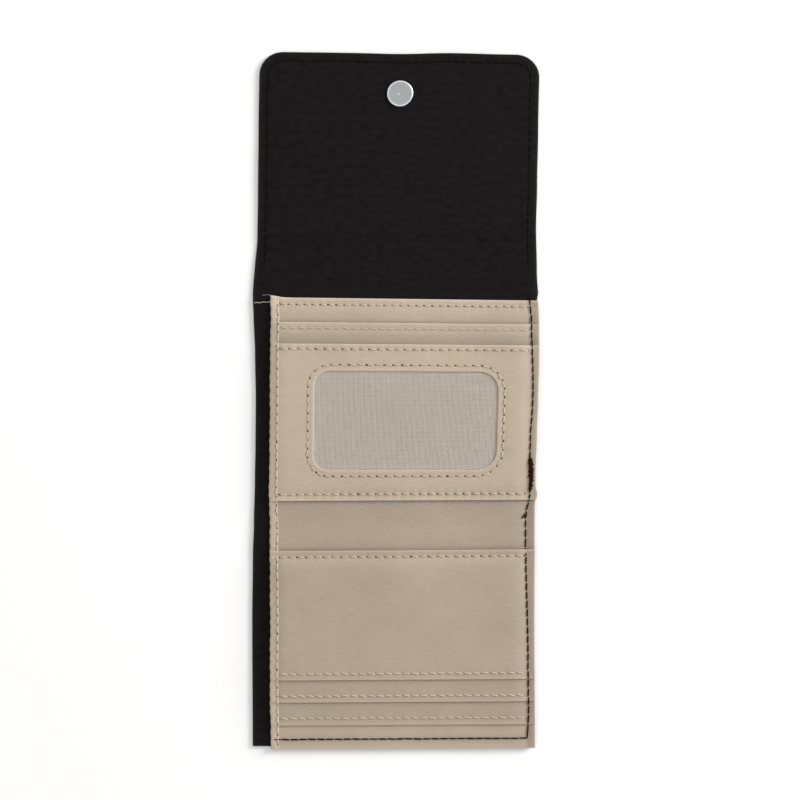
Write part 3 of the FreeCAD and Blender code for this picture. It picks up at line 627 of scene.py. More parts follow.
def sewing_thread(name, colour, dark, roughness, gloss):
    """Twisted thread. Its UVs run along it, so the twist goes round it. The grooves of the twist are painted
    in the dark colour, as shade.
    """
    material, tree = new_material(name)
    places = cloth_places(tree)
    twist = ribs(tree, places, 35, 0.30)
    uneven = ranged(tree, noise(tree, places, 1.5), 0.3, 0.7, 0.85, 1.1)
    # Painted shade: the dark colour in the twist's grooves.
    colour = tinted(tree, mixed(tree, twist, dark, colour), uneven)
    return shaded(material, colour, roughness, (twist, 0.05, 0.7), {SPECULAR: gloss})


# Painted shade of a needle hole: a dark brown for the flat spots that lie on the cloth where a hole's shade
# falls, since the cloth has no real holes.
def needle_hole(name, colour):
    material, tree = new_material(name)
    fluff = ranged(tree, noise(tree, cloth_places(tree), 4.0), 0.3, 0.7, 0.7, 1.25)
    return shaded(material, tinted(tree, colour, fluff), 0.95, None, {SPECULAR: 0.05})


def nickel(name, centre, colour, roughness, rim):
    """Plated metal, finely turned about its centre and scuffed, with a painted highlight: its colour is near
    white from the rim's radius out.
    """
    material, tree = new_material(name)
    flat = cloth_places(tree)
    from_centre = vector(tree, "SUBTRACT", flat, (centre[0], centre[1], 0.0))
    out = add(tree, "VectorMath", {0: from_centre}, 1, operation="LENGTH")
    rings = calc(tree, "SINE", times(tree, out, 21.0))
    scuff = ranged(tree, noise(tree, flat, 1.8, 5.0), 0.45, 0.75)
    face = mixed(tree, scuff, colour, brighter(colour, 0.66))
    # Painted highlight: near-white colour from the rim's radius out.
    colour = mixed(tree, ranged(tree, out, rim, rim + 0.25), face, (0.86, 0.88, 0.88, 1.0))
    roughness = ranged(tree, scuff, 0.0, 1.0, roughness, roughness + 0.15)
    height = calc(tree, "ADD", rings, times(tree, scuff, 0.4))
    return shaded(material, colour, roughness, (height, 0.008, 0.35), {"Metallic": 1.0})


def cardboard(name):
    material, tree = new_material(name)
    fibre = noise(tree, cloth_places(tree), 1.4, 6.0)
    colour = mixed(tree, fibre, (0.20, 0.15, 0.10, 1.0), (0.32, 0.25, 0.17, 1.0))
    return shaded(material, colour, 0.9, (fibre, 0.05, 0.5))


def net_thread(name):
    material, tree = new_material(name)
    places = cloth_places(tree)
    uneven = ranged(tree, noise(tree, places, 0.35, 4.0), 0.3, 0.7)
    colour = mixed(tree, uneven, (0.625, 0.563, 0.507, 1.0), (0.700, 0.636, 0.576, 1.0))
    return shaded(material, colour, 0.55, (noise(tree, places, 9.0), 0.01, 0.5), {SHEEN: 0.2})


def paper_floor(name):
    material, tree = new_material(name)
    grain = noise(tree, add(tree, "TexCoord", {}, 3), 400.0)
    colour = mixed(tree, grain, grey(0.90), grey(0.93))
    return shaded(material, colour, 0.85, (grain, 0.02, 0.1), {SPECULAR: 0.1})


TWILL = twill(
    "beige_twill", (0.612, 0.516, 0.415, 1.0), (0.345, 0.272, 0.203, 1.0), (0.410, 0.322, 0.240, 1.0))
BLACK = plain_weave("black_cloth", (0.0100, 0.0088, 0.0092, 1.0), (0.0045, 0.0038, 0.0040, 1.0), 0.42, 0.78)
LINING = plain_weave("black_lining", (0.0095, 0.0084, 0.0086, 1.0), (0.0036, 0.0029, 0.0029, 1.0), 0.36, 0.72)
BEIGE_THREAD = sewing_thread("beige_thread", (0.62, 0.53, 0.415, 1.0), (0.44, 0.365, 0.275, 1.0), 0.7, 0.2)
BLACK_THREAD = sewing_thread(
    "black_thread", (0.0085, 0.0050, 0.0045, 1.0), (0.0025, 0.0015, 0.0015, 1.0), 0.8, 0.03)
EDGE_THREAD = sewing_thread(
    "brown_black_thread", (0.034, 0.0135, 0.0050, 1.0), (0.009, 0.0035, 0.0014, 1.0), 0.85, 0.02)
# Painted shade for the needle holes' spots.
BEIGE_HOLE_SHADE = needle_hole("twill_painted_hole_shade", (0.085, 0.050, 0.028, 1.0))
# The snap disc and the magnet case get a painted highlight near their rims.
SNAP_METAL = nickel("snap_nickel", SNAP, (0.50, 0.53, 0.535, 1.0), 0.34, 4.15)
CASE_METAL = nickel("magnet_case_nickel", MAGNET, (0.50, 0.53, 0.535, 1.0), 0.30, 4.4)
BACKING = nickel("snap_backing_steel", MAGNET, (0.42, 0.42, 0.41, 1.0), 0.42, 9.0)
MAGNET_GREY = nickel("magnet_grey", MAGNET, (0.22, 0.22, 0.225, 1.0), 0.5, 9.0)
BOARD = cardboard("stiffening_board")
NET = net_thread("window_net")


# ---- how high each layer lies ----


def left_edge(y):
    return BODY_LEFT + (FLAP_LEFT - BODY_LEFT) * between(y, FLAP_NEAR, BOARD_START)


def edge_pull(x, y):
    """1 at the outline, where the outer cloth and the lining are sewn together."""
    inside = np.minimum(x - left_edge(y), BODY_RIGHT - x)
    inside = np.minimum(inside, np.minimum(FLAP_TIP - y, y - BODY_BOTTOM))
    return hill(np.clip(inside, 0, None), 0, 2.2)


def unboarded(y):
    """1 between the liner's top and the flap's board, where only cloth lies."""
    return between(y, 37.0, 41.0) * (1 - between(y, BOARD_START - 2.2, BOARD_START + 0.6))


def outer_top(x, y):
    return 1.25 + 0.17 * edge_pull(x, y)


def lining_top(x, y):
    crease = -0.22 * unboarded(y) + 0.05 * hill(y, BOARD_START + 1.6, 1.4)
    row = -0.06 * hill(edge_inset(x, y), 3.0, 0.8)
    return 1.90 - 0.17 * edge_pull(x, y) + crease + row


def edge_inset(x, y):
    """How far inside the flap's rounded outline a point is."""
    dx, dy = np.minimum(x - FLAP_LEFT, BODY_RIGHT - x), FLAP_TIP - y
    bend = FLAP_CORNER - np.hypot(np.clip(FLAP_CORNER - dx, 0, None), np.clip(FLAP_CORNER - dy, 0, None))
    near = (dx < FLAP_CORNER) & (dy < FLAP_CORNER)
    inset = np.where(near, bend, np.minimum(dx, dy))
    return np.where(y > BOARD_START - 12, inset, 99.0)


def board_top(x, y):
    return 1.60


def sewn_dip(x, y):
    """How far the liner comes down to the lining along its sewn edges."""
    right = hill(x, LINER_RIGHT, 5.0)
    bottom = hill(y, LINER_BOTTOM, 4.6)
    top = hill(y, LINER_TOP, 3.0) * between(x, LINER_LEFT + 2, LINER_LEFT + 8)
    return -0.55 * (1 - (1 - right) * (1 - bottom) * (1 - top))


def tuck(y, mouth, way):
    """A layer dips where it goes in under the mouth of the panel above."""
    out = (y - mouth) * way
    deep = 0.20 if way > 0 else 0.10
    return -deep * np.where(out > 0, 1 - smooth(out / 4.0), 1 - smooth(-out / 8.0))


def pinch(x, y):
    """1 where the pockets' layers are sewn flat together: under the hem, at the right and at their bases."""
    left = hill(x, LINER_LEFT, 3.2)
    right = hill(x, LINER_RIGHT, 4.8)
    bases = np.maximum(hill(y, -36.0, 2.6), hill(y, -57.2, 2.6))
    return 1 - (1 - left) * (1 - right) * (1 - bases)


def seam_dent(x, y, row, deep=0.10, pitch=PITCH):
    """The groove that a row pulls into the cloth, deepest at each hole, with fine puckers beside it."""
    turn = 2 * math.pi * (x - ROW_START) / pitch
    pull = 0.55 + 0.45 * np.cos(turn)
    pucker = 0.5 * deep * np.cos(turn + 0.9) * hill(y, row, 1.9)
    return -deep * hill(y, row, 0.6) * pull - pucker


def edge_row_x(y):
    """The black edge row wanders. Its place here is before the cloth is laid out of true."""
    at = middle("centre_edge_thread")[0]
    moved = lie_beige(np.full_like(np.asarray(y, float), at), np.asarray(y, float))[0]
    return at + along(y, EDGE_ROW_SWAY) - (moved - at)


def edge_dent(x, y):
    return -0.11 * hill(x, edge_row_x(y), 0.75)


def rest_top(x, y):
    return LINER_Z + sewn_dip(x, y)


ROWS = {name: middle(name)[1] for name in (
    "liner_top_thread", "centre_pocket_thread", "window_mouth_thread", "window_base_thread",
    "front_base_thread", *(f"front_{step}_pocket_thread" for step in STEPS),
)}
ROWS["window_mouth_thread"] += 0.45
HEM_ROW = middle("centre_hem_thread")[0] + 0.5
BOTTOM_ROW = box("front_edge_thread")[0][1] + CAD_STITCH
FRONT_BASE_GROOVE = ROWS["front_base_thread"] - 0.6


def fold_hollow(y):
    return -0.30 * hill(y, FOLD_MIDDLE, 5.0)


def liner_top(x, y):
    under = tuck(y, MOUTHS["centre_card_pocket"], 1) + tuck(y, MOUTHS["front_card_pocket_low"], -1)
    row = seam_dent(x, y, ROWS["liner_top_thread"], pitch=TOP_PITCH) - 0.08 * hill(y, BOTTOM_ROW, 0.8)
    rolled = 0.10 * hill(y, LINER_TOP - 0.8, 0.8)
    return rest_top(x, y) + fold_hollow(y) + under + row + rolled + edge_dent(x, y)


def layer_top(x, y, number):
    return rest_top(x, y) + number * (LAYER - 0.85 * GAP * pinch(x, y))


def mouth_lift(x, y, mouth, way):
    """The centre half's mouths stand a little open. The front half's are pressed flat."""
    inside = (mouth - y) * way
    lift = 0.13 if way > 0 else -0.16
    slack = (1 - pinch(x, y)) * (0.8 + 0.2 * np.sin(x / 7.0 + mouth))
    return lift * hill(inside, 0, 2.6) * slack


def centre_pocket_top(x, y):
    mouth = MOUTHS["centre_card_pocket"]
    row = seam_dent(x, y, ROWS["centre_pocket_thread"], 0.03)
    under = tuck(y, MOUTHS["id_window_panel"], 1)
    return layer_top(x, y, 1) + row + under + mouth_lift(x, y, mouth, 1) + edge_dent(x, y)


def window_panel_top(x, y):
    mouth = MOUTHS["id_window_panel"]
    rows = seam_dent(x, y, ROWS["window_mouth_thread"]) + seam_dent(x, y, ROWS["window_base_thread"])
    ring = -0.08 * hill(ring_distance(x, y), 0, 0.6)
    return layer_top(x, y, 2) + rows + ring + mouth_lift(x, y, mouth, 1) + edge_dent(x, y)


def front_pocket_top(number):
    """The height of a front pocket. The lowest is number 1 and the top one is number 3."""
    row = ROWS[f"front_{STEPS[number - 1]}_pocket_thread"]
    mouth = MOUTHS[FRONT_PANELS[number - 1]]

    def top(x, y):
        rows = seam_dent(x, y, row, 0.03) + seam_dent(x, y, ROWS["front_base_thread"], 0.06)
        under = tuck(y, MOUTHS[FRONT_PANELS[number]], -1) if number < len(STEPS) else 0.0
        return layer_top(x, y, number) + rows + under + mouth_lift(x, y, mouth, -1) + edge_dent(x, y)

    return top


RING_LOW, RING_HIGH = box("id_window_thread")[0] + CAD_STITCH, box("id_window_thread")[1] - CAD_STITCH
RING = (RING_LOW[0], RING_HIGH[0], RING_LOW[1], RING_HIGH[1])
RING_INSET = 2.3
WINDOW = (RING[0] + RING_INSET, RING[1] - RING_INSET, RING[2] + RING_INSET, RING[3] - RING_INSET)
WINDOW_RADII = (5.8, 7.2)


def ring_distance(x, y):
    """How far a point is from the row of stitches round the ID window."""
    half = np.array([(RING[1] - RING[0]) / 2, (RING[3] - RING[2]) / 2])
    cx, cy = (RING[0] + RING[1]) / 2, (RING[2] + RING[3]) / 2
    radius = np.where(x < cx, WINDOW_RADII[0], WINDOW_RADII[1]) + RING_INSET
    qx, qy = np.abs(x - cx) - half[0] + radius, np.abs(y - cy) - half[1] + radius
    return np.hypot(np.clip(qx, 0, None), np.clip(qy, 0, None)) + np.minimum(np.maximum(qx, qy), 0) - radius


FRONT_TOPS = {node: front_pocket_top(number) for number, node in enumerate(FRONT_PANELS, 1)}


def layers_at(y):
    """How many pocket layers lie on the liner, eased over each panel's end."""
    total = 0.0
    for node in CENTRE_PANELS + FRONT_PANELS:
        low, high = (corner[1] for corner in box(node))
        total = total + between(y, low - 0.7, low + 0.5) * (1 - between(y, high - 0.5, high + 0.7))
    return total


def stack_top(x, y):
    """The top of whatever lies on the liner, for the hem and the edge stitches."""
    return layer_top(x, y, layers_at(y)) + fold_hollow(y)


# ---- the light brown cloth's colour factor, with painted shade in it ----


def tone_of(stops):
    """A factor on the cloth's colour that changes up the wallet. It is darker towards the right, a painted
    shade that offsets the key lamp lighting the right side more, and darker still outside the black row.
    """
    def tone(x, y):
        right = 1 - 0.05 * between(x, 15, 46) - 0.22 * between(x, 48.0, 49.6)
        return along(y, stops) * right * (1 + 0.012 * np.sin(x / 13.0))

    return tone


# Painted shade on the liner: a dark band just above the centre card pocket's mouth (29.3 to 28) and another
# along the front pockets' upper edge (-54.8 to -55.6). Its fold, between them, is also darker than its top
# band.
LINER_TONE_AND_SHADE = tone_of(((38, 1.06), (31, 1.0), (30.1, 0.98), (29.3, 0.76), (28, 0.78), (-38, 0.82), (-46, 0.84),
                      (-53.6, 0.82), (-54.8, 0.74), (-55.6, 0.68), (-57, 0.82), (-120, 0.93), (-128, 0.96)))
# Painted shade on the pockets: the centre card pocket darkens towards the window panel's mouth (23.5 to
# 20.6), and each lower front pocket is darkest just under the mouth of the pocket above it.
PANEL_TONES_AND_SHADE = {
    "centre_card_pocket": tone_of(((29, 1.03), (25.5, 1.02), (23.5, 0.88), (20.6, 0.78), (10, 0.95),
                                   (-36, 0.95))),
    "id_window_panel": tone_of(((20, 1.07), (0, 1.06), (-37, 1.02))),
    "front_card_pocket_low": tone_of(((-57, 0.82), (-112, 0.80), (-120, 0.86))),
    "front_card_pocket_middle": tone_of(((-57, 0.84), (-104, 0.82), (-112, 0.88))),
    "front_card_pocket_top": tone_of(((-55, 0.92), (-70, 0.88), (-104, 0.89))),
}


# ---- pieces ----


def across_fold(piece, near, far, start, end):
    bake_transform(piece)


def finish_piece(piece, slot, nodes=(), body=None, flat=None, held="folded", **more):
    """Gives a piece its body and hides the CAD nodes it stands for. The material slot and the sheet's flat
    size are not used.
    """
    if body:
        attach(piece, body)
    if nodes:
        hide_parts(*nodes)


BLEND = {
    "front": ("fold_spine", "front_half", FOLD_MIDDLE - 0.45, FOLD_MIDDLE - 2.9),
    "centre_low": ("centre_half", "fold_spine", FOLD_MIDDLE + 2.9, FOLD_MIDDLE + 0.45),
    "centre_high": ("centre_half", "flap_spine", FLAP_NEAR - 2.2, FLAP_MIDDLE - 1.8),
    "flap": ("flap_spine", "flap", FLAP_MIDDLE + 1.8, FLAP_FAR + 2.2),
}
# Where each part of the black cloth starts and ends, which of its ends are cut, and what it stands for.
BLACK_PARTS = {
    "front": (BODY_BOTTOM, FOLD_MIDDLE, "t", ("front_{}", "fold_spine_{}")),
    "centre_low": (FOLD_MIDDLE, CENTRE_CUT, "bt", ("centre_{}", "fold_spine_{}")),
    "centre_high": (CENTRE_CUT, FLAP_MIDDLE, "bt", ("centre_{}", "flap_spine_{}")),
    "flap": (FLAP_MIDDLE, FLAP_TIP, "b", ("flap_{}", "flap_spine_{}")),
}
LINER_PARTS = (
    ("centre", FOLD_MIDDLE, LINER_TOP, "b", BLEND["centre_low"]),
    ("front", LINER_BOTTOM, FOLD_MIDDLE, "t", BLEND["front"]),
)


def crease_rows(low, high):
    """More rows where the cloth bends round a fold."""
    rows = [np.arange(at - 4.5, at + 4.5, 0.3) for at in (FRONT_FOLD, BACK_FOLD, FLAP_NEAR, FLAP_FAR)]
    rows = np.concatenate(rows)
    return rows[(rows > low + 0.4) & (rows < high - 0.4)]


def make_black_cloth(kind, material, height, half, inset, slot, step):
    """The outer cloth or the lining, in four pieces that meet inside each fold and across the centre half."""
    for part, (low, high, cut, names) in BLACK_PARTS.items():
        sides = (lambda y: left_edge(y) + inset, BODY_RIGHT - inset, low, high)
        piece = cloth_panel(f"{kind}_{part}", sides, height, half, lie_black, material, cut=cut, step=step,
                            extra=crease_rows(low, high), corner=FLAP_CORNER if part == "flap" else 0.0)
        across_fold(piece, *BLEND[part])
        finish_piece(piece, slot, [name.format(kind) for name in names],
                     flat=(BODY_RIGHT - BODY_LEFT, high - low))


def make_boards():
    for part, body in (("centre", "centre_half"), ("front", "front_half"), ("flap", "flap")):
        low, high = box(f"{part}_board")
        piece = cloth_panel(f"board_{part}", (low[0], high[0], low[1], high[1]), board_top, 0.17, lie_still,
                            BOARD, step=3.0)
        finish_piece(piece, "stiffening_board", [f"{part}_board"], body)


def make_liner(hems):
    for part, low, high, cut, blend in LINER_PARTS:
        row = ROWS["liner_top_thread"] + np.linspace(-1.2, 1.2, 7)
        extra = np.concatenate([crease_rows(low, high), row[(row > low) & (row < high)]])
        piece = cloth_panel(f"liner_{part}", (LINER_LEFT, LINER_RIGHT, low, high), liner_top, HALF, lie_beige,
                            TWILL, cut=cut, extra=extra, roll=0.35, tone=LINER_TONE_AND_SHADE)
        across_fold(piece, *blend)
        nodes = [f"{part}_liner", "fold_spine_liner", f"{part}_seam_allowance"]
        finish_piece(piece, "beige_twill", nodes, flat=(LINER_RIGHT - LINER_LEFT, high - low),
                     with_pieces=[hems[part]])


def make_pockets():
    bases = {"centre_card_pocket": ["centre_pocket_seams"], "front_card_pocket_low": ["front_pocket_seams"]}
    for node, top in (("centre_card_pocket", centre_pocket_top), *FRONT_TOPS.items()):
        half, *_, step = node.split("_")
        name, rows = "card_pocket_centre", [ROWS["centre_pocket_thread"]]
        if half == "front":
            name, rows = f"card_pocket_front_{step}", [ROWS[f"front_{step}_pocket_thread"], FRONT_BASE_GROOVE]
        extra = np.concatenate([row + np.linspace(-1.2, 1.2, 9) for row in rows])
        low, high = box(node)
        piece = cloth_panel(name, (LINER_LEFT, LINER_RIGHT, low[1], high[1]), top, HALF, lie_beige, TWILL,
                            extra=extra, roll=0.3, tone=PANEL_TONES_AND_SHADE[node])
        finish_piece(piece, "beige_twill", [node, *bases.get(node, ())], f"{half}_half",
                     (high[0] - low[0], high[1] - low[1]), "stretched")


def make_window_panel():
    low, high = box("id_window_panel")
    wide, tall = high[0] - low[0], high[1] - low[1]
    piece = frame_panel("window_panel", (low[0], high[0], low[1], high[1]), (*WINDOW, *WINDOW_RADII),
                        window_panel_top, HALF, lie_beige, TWILL, 0.3, PANEL_TONES_AND_SHADE["id_window_panel"])
    window_area = (WINDOW[1] - WINDOW[0]) * (WINDOW[3] - WINDOW[2])
    finish_piece(piece, "beige_twill", ["id_window_panel"], "centre_half", (wide, tall), "stretched",
                 area=(wide * tall - window_area) / 1e6)


def make_net():
    """The ID window's net: two sets of fine threads that pass over and under each other."""
    reach = 1.6
    x0, x1, y0, y1 = WINDOW[0] - reach, WINDOW[1] + reach, WINDOW[2] - reach, WINDOW[3] + reach
    across = np.arange(x0, x1, NET_PITCH)
    up = np.arange(y0, y1, NET_PITCH * 1.06)
    chance = np.random.default_rng(11)
    parts = []
    for i, x in enumerate(across):
        sway = 0.03 * np.sin(up / 6.0 + chance.uniform(0, 6.3)) + chance.normal(0, 0.014)
        z = net_height(x, up) + NET_CROSSING * (-1.0) ** (np.arange(len(up)) + i)
        parts.append(tube(np.column_stack([x + sway, up, z]), 0.118, sides=3))
    for i, y in enumerate(up):
        sway = 0.03 * np.sin(across / 8.0 + chance.uniform(0, 6.3)) + chance.normal(0, 0.014)
        z = net_height(across, y) - NET_CROSSING * (-1.0) ** (np.arange(len(across)) + i)
        parts.append(tube(np.column_stack([across, y + sway, z]), 0.113, sides=3))
    points, faces, _ = gathered(parts)
    piece = mesh_piece("window_net", points, faces, points[:, :2], lie_beige, NET)
    finish_piece(piece, "window_net", ["id_window_net"], "centre_half", (x1 - x0, y1 - y0), "stretched")


def net_height(x, y):
    """The net is held at the window's edge and lies a little higher in its middle."""
    side = np.minimum(np.minimum(x - WINDOW[0], WINDOW[1] - x), np.minimum(y - WINDOW[2], WINDOW[3] - y))
    return LINER_Z + 2 * LAYER - CLOTH - 0.12 + 0.07 * smooth(side / 12) - 0.03 * hill(side, 0, 2)


# The hem's section. First from its inner edge: x, height over the pockets, and depth of its row's groove.
HEM_INNER = (
    (-0.4, 0.0, 0), (-0.12, 0.03, 0), (0.0, 0.12, 0), (-0.06, 0.20, 0), (-0.18, 0.25, 0), (-0.34, 0.25, 0.05),
    (-0.5, 0.23, 0.09), (-0.7, 0.25, 0.05), (-1.1, 0.31, 0), (-1.6, 0.33, 0), (-2.1, 0.33, 0),
)
# Then from its outer edge: x, how far it stands at the pockets' height and not the liner's, rise, swell.
HEM_OUTER = (
    (0.55, 1, 0, 0.28), (0.2, 1, 0, 0.14), (0.03, 1, -0.08, 0), (0, 0.5, -0.1, 0), (0.04, 0, -0.22, 0),
    (0.2, 0, -0.40, 0), (0.5, 0, -0.46, 0), (1.6, 0, -0.44, 0), (1.9, 0, -0.25, 0),
)
HEM_WEAR = [0.3, 0.6, 0.9, 0.6, 0.2] + [0.0] * 6 + [0.3, 0.6, 0.5] + [0.2] * 6


def make_hem():
    """The hem wraps from under the liner's left edge up over the ends of the pockets."""
    hems = {}
    for part, low, high, cut, blend in LINER_PARTS:
        past = 1 if cut == "t" else -1
        rows = [np.arange(low, high, 0.8), crease_rows(low, high), [low + 0.25, high - 0.25, high],
                layer_ends(low, high), FOLD_MIDDLE + past * (TAIL - np.array(CUT))]
        y = np.unique(np.round(np.concatenate(rows), 3))
        pull = 0.5 + 0.5 * np.cos(2 * math.pi * y / HEM_PITCH)
        end = 1.0 - 0.5 * (hill(y, LINER_TOP, 0.22) + hill(y, LINER_BOTTOM, 0.22))
        outer = LINER_LEFT - 0.32 + 0.20 * pull - 0.06 * np.sin(y / 3.1) - 0.05 * np.sin(y / 1.3 + 2)
        side = np.full_like(y, LINER_LEFT)
        crest, liner = stack_top(side, y), LINER_Z + sewn_dip(side, y)
        section = []
        for x, rise, groove in HEM_INNER:
            at = np.full_like(y, HEM_EDGE + x)
            section.append((at, stack_top(at, y) + 0.8 * rise * end - groove * pull))
        for x, share, rise, swell in HEM_OUTER:
            section.append((outer + x, share * crest + (1 - share) * liner + rise + swell * end))
        points = np.stack([np.column_stack([x, y, z]) for x, z in section], axis=1)
        tail = np.clip((y - FOLD_MIDDLE) * past / TAIL, 0, 1)
        points += (points.mean(axis=1, keepdims=True) - points) * 0.15 * (tail**2)[:, None, None]
        points = points.reshape(-1, 3)
        grid = np.arange(len(points)).reshape(len(y), len(section))
        faces = quads(closed(grid))
        flat = [len(faces), len(faces) + 1]
        faces += [tuple(grid[0][::-1].tolist()), tuple(grid[-1].tolist())]
        tone = LINER_TONE_AND_SHADE(points[:, 0], points[:, 1]) * 1.2
        piece = mesh_piece(f"liner_hem_{part}", points, faces, points[:, :2], lie_beige, TWILL, flat,
                           np.tile(HEM_WEAR, len(y)), tone)
        across_fold(piece, *blend)
        finish_piece(piece, "beige_twill", [f"{part}_liner_hem", "fold_spine_hem"])
        hems[part] = piece
    return hems


def layer_ends(low, high):
    """More rows where the hem climbs over a pocket's end."""
    ends = [corner[1] for node in CENTRE_PANELS + FRONT_PANELS for corner in box(node)]
    ends = np.concatenate([end + np.linspace(-1.0, 1.0, 9) for end in ends])
    return ends[(ends > low + 0.3) & (ends < high - 0.3)]


def row_holes(y, start=ROW_START, end=ROW_END, pitch=PITCH):
    x = np.linspace(start, end, int(round((end - start) / pitch)) + 1)
    return np.column_stack([x, np.full_like(x, y)])


def column_holes(x, low, high, pitch):
    y = np.arange(high, low - 0.01, -pitch)
    return np.column_stack([x(y) if callable(x) else np.full_like(y, x), y])


def with_way(holes, way=0.0):
    """Needle holes with the direction of their row."""
    return [(x, y, way) for x, y in holes]


def hem_height(x, y):
    return stack_top(x, y) + 0.22


def edge_height(x, y):
    return stack_top(x, y) - 0.05


def glint_height(x, y):
    return edge_height(x, y) + 0.06


# Flat dark spots of painted shade where the needle's holes are.
def make_holes(name, holes, top, size, body, seed=4):
    finish_piece(marks(name, holes, top, size, lie_beige, BEIGE_HOLE_SHADE, seed), "beige_twill", body=body)


# The light brown rows across the wallet: their cloth's height, thread radius, arch, and if their holes show
# as large spots of painted shade.
BEIGE_ROWS = (
    ("liner_top_thread", liner_top, 0.20, 0.11, True),
    ("centre_pocket_thread", centre_pocket_top, 0.21, 0.09, False),
    ("window_mouth_thread", window_panel_top, 0.205, 0.12, True),
    ("window_base_thread", window_panel_top, 0.205, 0.12, True),
    ("front_base_thread", FRONT_TOPS["front_card_pocket_top"], 0.205, 0.12, True),
    *((f"front_{step}_pocket_thread", FRONT_TOPS[f"front_card_pocket_{step}"], 0.21, 0.09, False)
      for step in STEPS),
)


def make_beige_rows():
    for number, (node, top, radius, arch, dotted) in enumerate(BEIGE_ROWS):
        body = "front_half" if node.startswith("front") else "centre_half"
        holes = row_holes(ROWS[node], pitch=TOP_PITCH if node == "liner_top_thread" else PITCH)
        slant, inset, size = (0.22, 0.46, 0.39) if dotted else (0.50, 0.24, 0.13)
        piece = stitch_row(node + "_stitches", [holes], top, radius, lie_beige, BEIGE_THREAD, arch,
                           slant=slant, inset=inset, seed=number)
        finish_piece(piece, "beige_thread", [node], body)
        make_holes(node + "_hole_shade", with_way(holes, -0.25), top, size, body, number)


def make_window_ring():
    radii = [r + RING_INSET for r in WINDOW_RADII]
    loop = rounded_loop(*RING, *radii, (90, 45))
    loop = np.concatenate([loop, loop[:1]])
    length = float(np.hypot(*np.diff(loop, axis=0).T).sum())
    holes = resample(loop, int(round(length / PITCH)) + 1)
    piece = stitch_row("id_window_stitches", [holes], window_panel_top, 0.22, lie_beige, BEIGE_THREAD, 0.13,
                       inset=0.46, seed=21)
    finish_piece(piece, "beige_thread", ["id_window_thread"], "centre_half")
    ways = np.arctan2(*np.gradient(holes, axis=0).T[::-1])
    make_holes("id_window_hole_shade", [(x, y, w) for (x, y), w in zip(holes, ways)], window_panel_top, 0.43,
               "centre_half")


def make_hem_rows():
    for node, body, pitch in (("centre_hem_thread", "centre_half", HEM_PITCH),
                              ("fold_spine_thread", "fold_spine", FOLD_PITCH),
                              ("front_hem_thread", "front_half", HEM_PITCH)):
        low, high = box(node)
        holes = column_holes(HEM_ROW, low[1] + 0.2, high[1] - 0.2, pitch)
        piece = stitch_row(node + "_stitches", [holes], hem_height, 0.2, lie_beige, BEIGE_THREAD, 0.06,
                           inset=0.5, seed=31)
        finish_piece(piece, "beige_thread", [node], body)
        make_holes(node + "_hole_shade", with_way(holes, math.pi / 2), hem_height, 0.31, body)


def make_edge_rows():
    """The black row at the right side and the lower end, and the pale lower thread between its stitches."""
    top, end = LINER_TOP + 1.3, BACK_FOLD + 0.1
    centre = column_holes(edge_row_x, end, top, (top - end) / EDGE_STITCHES)
    side = column_holes(edge_row_x, BOTTOM_ROW, FRONT_FOLD - 0.2, EDGE_PITCH)
    corner = float(edge_row_x(np.array([BOTTOM_ROW]))[0])
    bottom = row_holes(BOTTOM_ROW, LINER_LEFT + 0.4, corner, EDGE_PITCH)[::-1]
    side[-1] = bottom[0] = (corner, BOTTOM_ROW)
    over_fold = np.array([[edge_row_x(y), y] for y in (BACK_FOLD - 0.1, FRONT_FOLD + 0.1)], float)
    for name, body, runs in (("centre_edge_thread", "centre_half", [centre]),
                             ("front_edge_thread", "front_half", [side, bottom]),
                             ("fold_spine_edge", "fold_spine", [over_fold])):
        piece = stitch_row(name + "_stitches", runs, edge_height, 0.27, lie_beige, EDGE_THREAD, 0.2,
                           slant=0.12, inset=0.11, seed=41)
        finish_piece(piece, "black_thread", [name] if name in frame["nodes"] else [], body)
    up, front = math.pi / 2, with_way(bottom[1:-1])
    for half, holes in (("centre", with_way(centre[1:-1], up)), ("front", with_way(side[1:-1], up) + front)):
        loops = marks(f"{half}_edge_lower_thread", holes, glint_height, 0.17, lie_beige, BEIGE_THREAD)
        finish_piece(loops, "beige_thread", body=f"{half}_half")


def make_bartack():
    """The edge row's messy reinforcement: many stitches over each other, thinning out downwards."""
    low, high = box("edge_bartack")
    chance = np.random.default_rng(8)
    parts = []
    top, bottom = high[1] - 0.2, low[1] + 0.2
    for t in np.linspace(0, 1, BARTACK_STITCHES):
        y = top + (bottom - top) * t
        wide = 1.05 * (0.5 + 0.5 * math.sin(math.pi * min(1, 0.1 + t)))
        x = float(edge_row_x(np.array([y]))[0]) + chance.normal(0.1, 0.14)
        a = np.array([x - wide * chance.uniform(0.6, 1.1), y + chance.normal(0, 0.5)])
        b = np.array([x + wide * chance.uniform(0.6, 1.1), y - 0.7 + chance.normal(0, 0.6)])
        parts.append(stitch(a, b, edge_height, 0.25, 0.2, 0.30 + chance.uniform(0, 0.25), 0.15))
    for shift in (-0.35, 0.05, 0.4):
        y = np.arange(top, bottom - 4.0, -2.0)
        holes = np.column_stack([edge_row_x(y) + shift + chance.normal(0, 0.15, len(y)), y])
        parts += [stitch(a, b, edge_height, 0.25, 0.15, 0.35, 0.12) for a, b in zip(holes[:-1], holes[1:])]
    knot_y = BACK_FOLD + 1.4
    knot = np.array([edge_row_x(knot_y) - 0.25, knot_y], float)
    for reach, lift, turn in ((0.75, 0.45, 0.6), (0.7, 0.5, 2.2), (0.8, 0.4, 3.9), (1.5, 0.2, 3.75)):
        end = knot + reach * np.array([math.cos(turn), math.sin(turn)])
        parts.append(stitch(knot, end, edge_height, 0.27, 0.3, lift, 0.1))
    piece = mesh_piece("edge_bartack_stitches", *gathered(parts), lie_beige, EDGE_THREAD)
    finish_piece(piece, "black_thread", ["edge_bartack"], "centre_half")


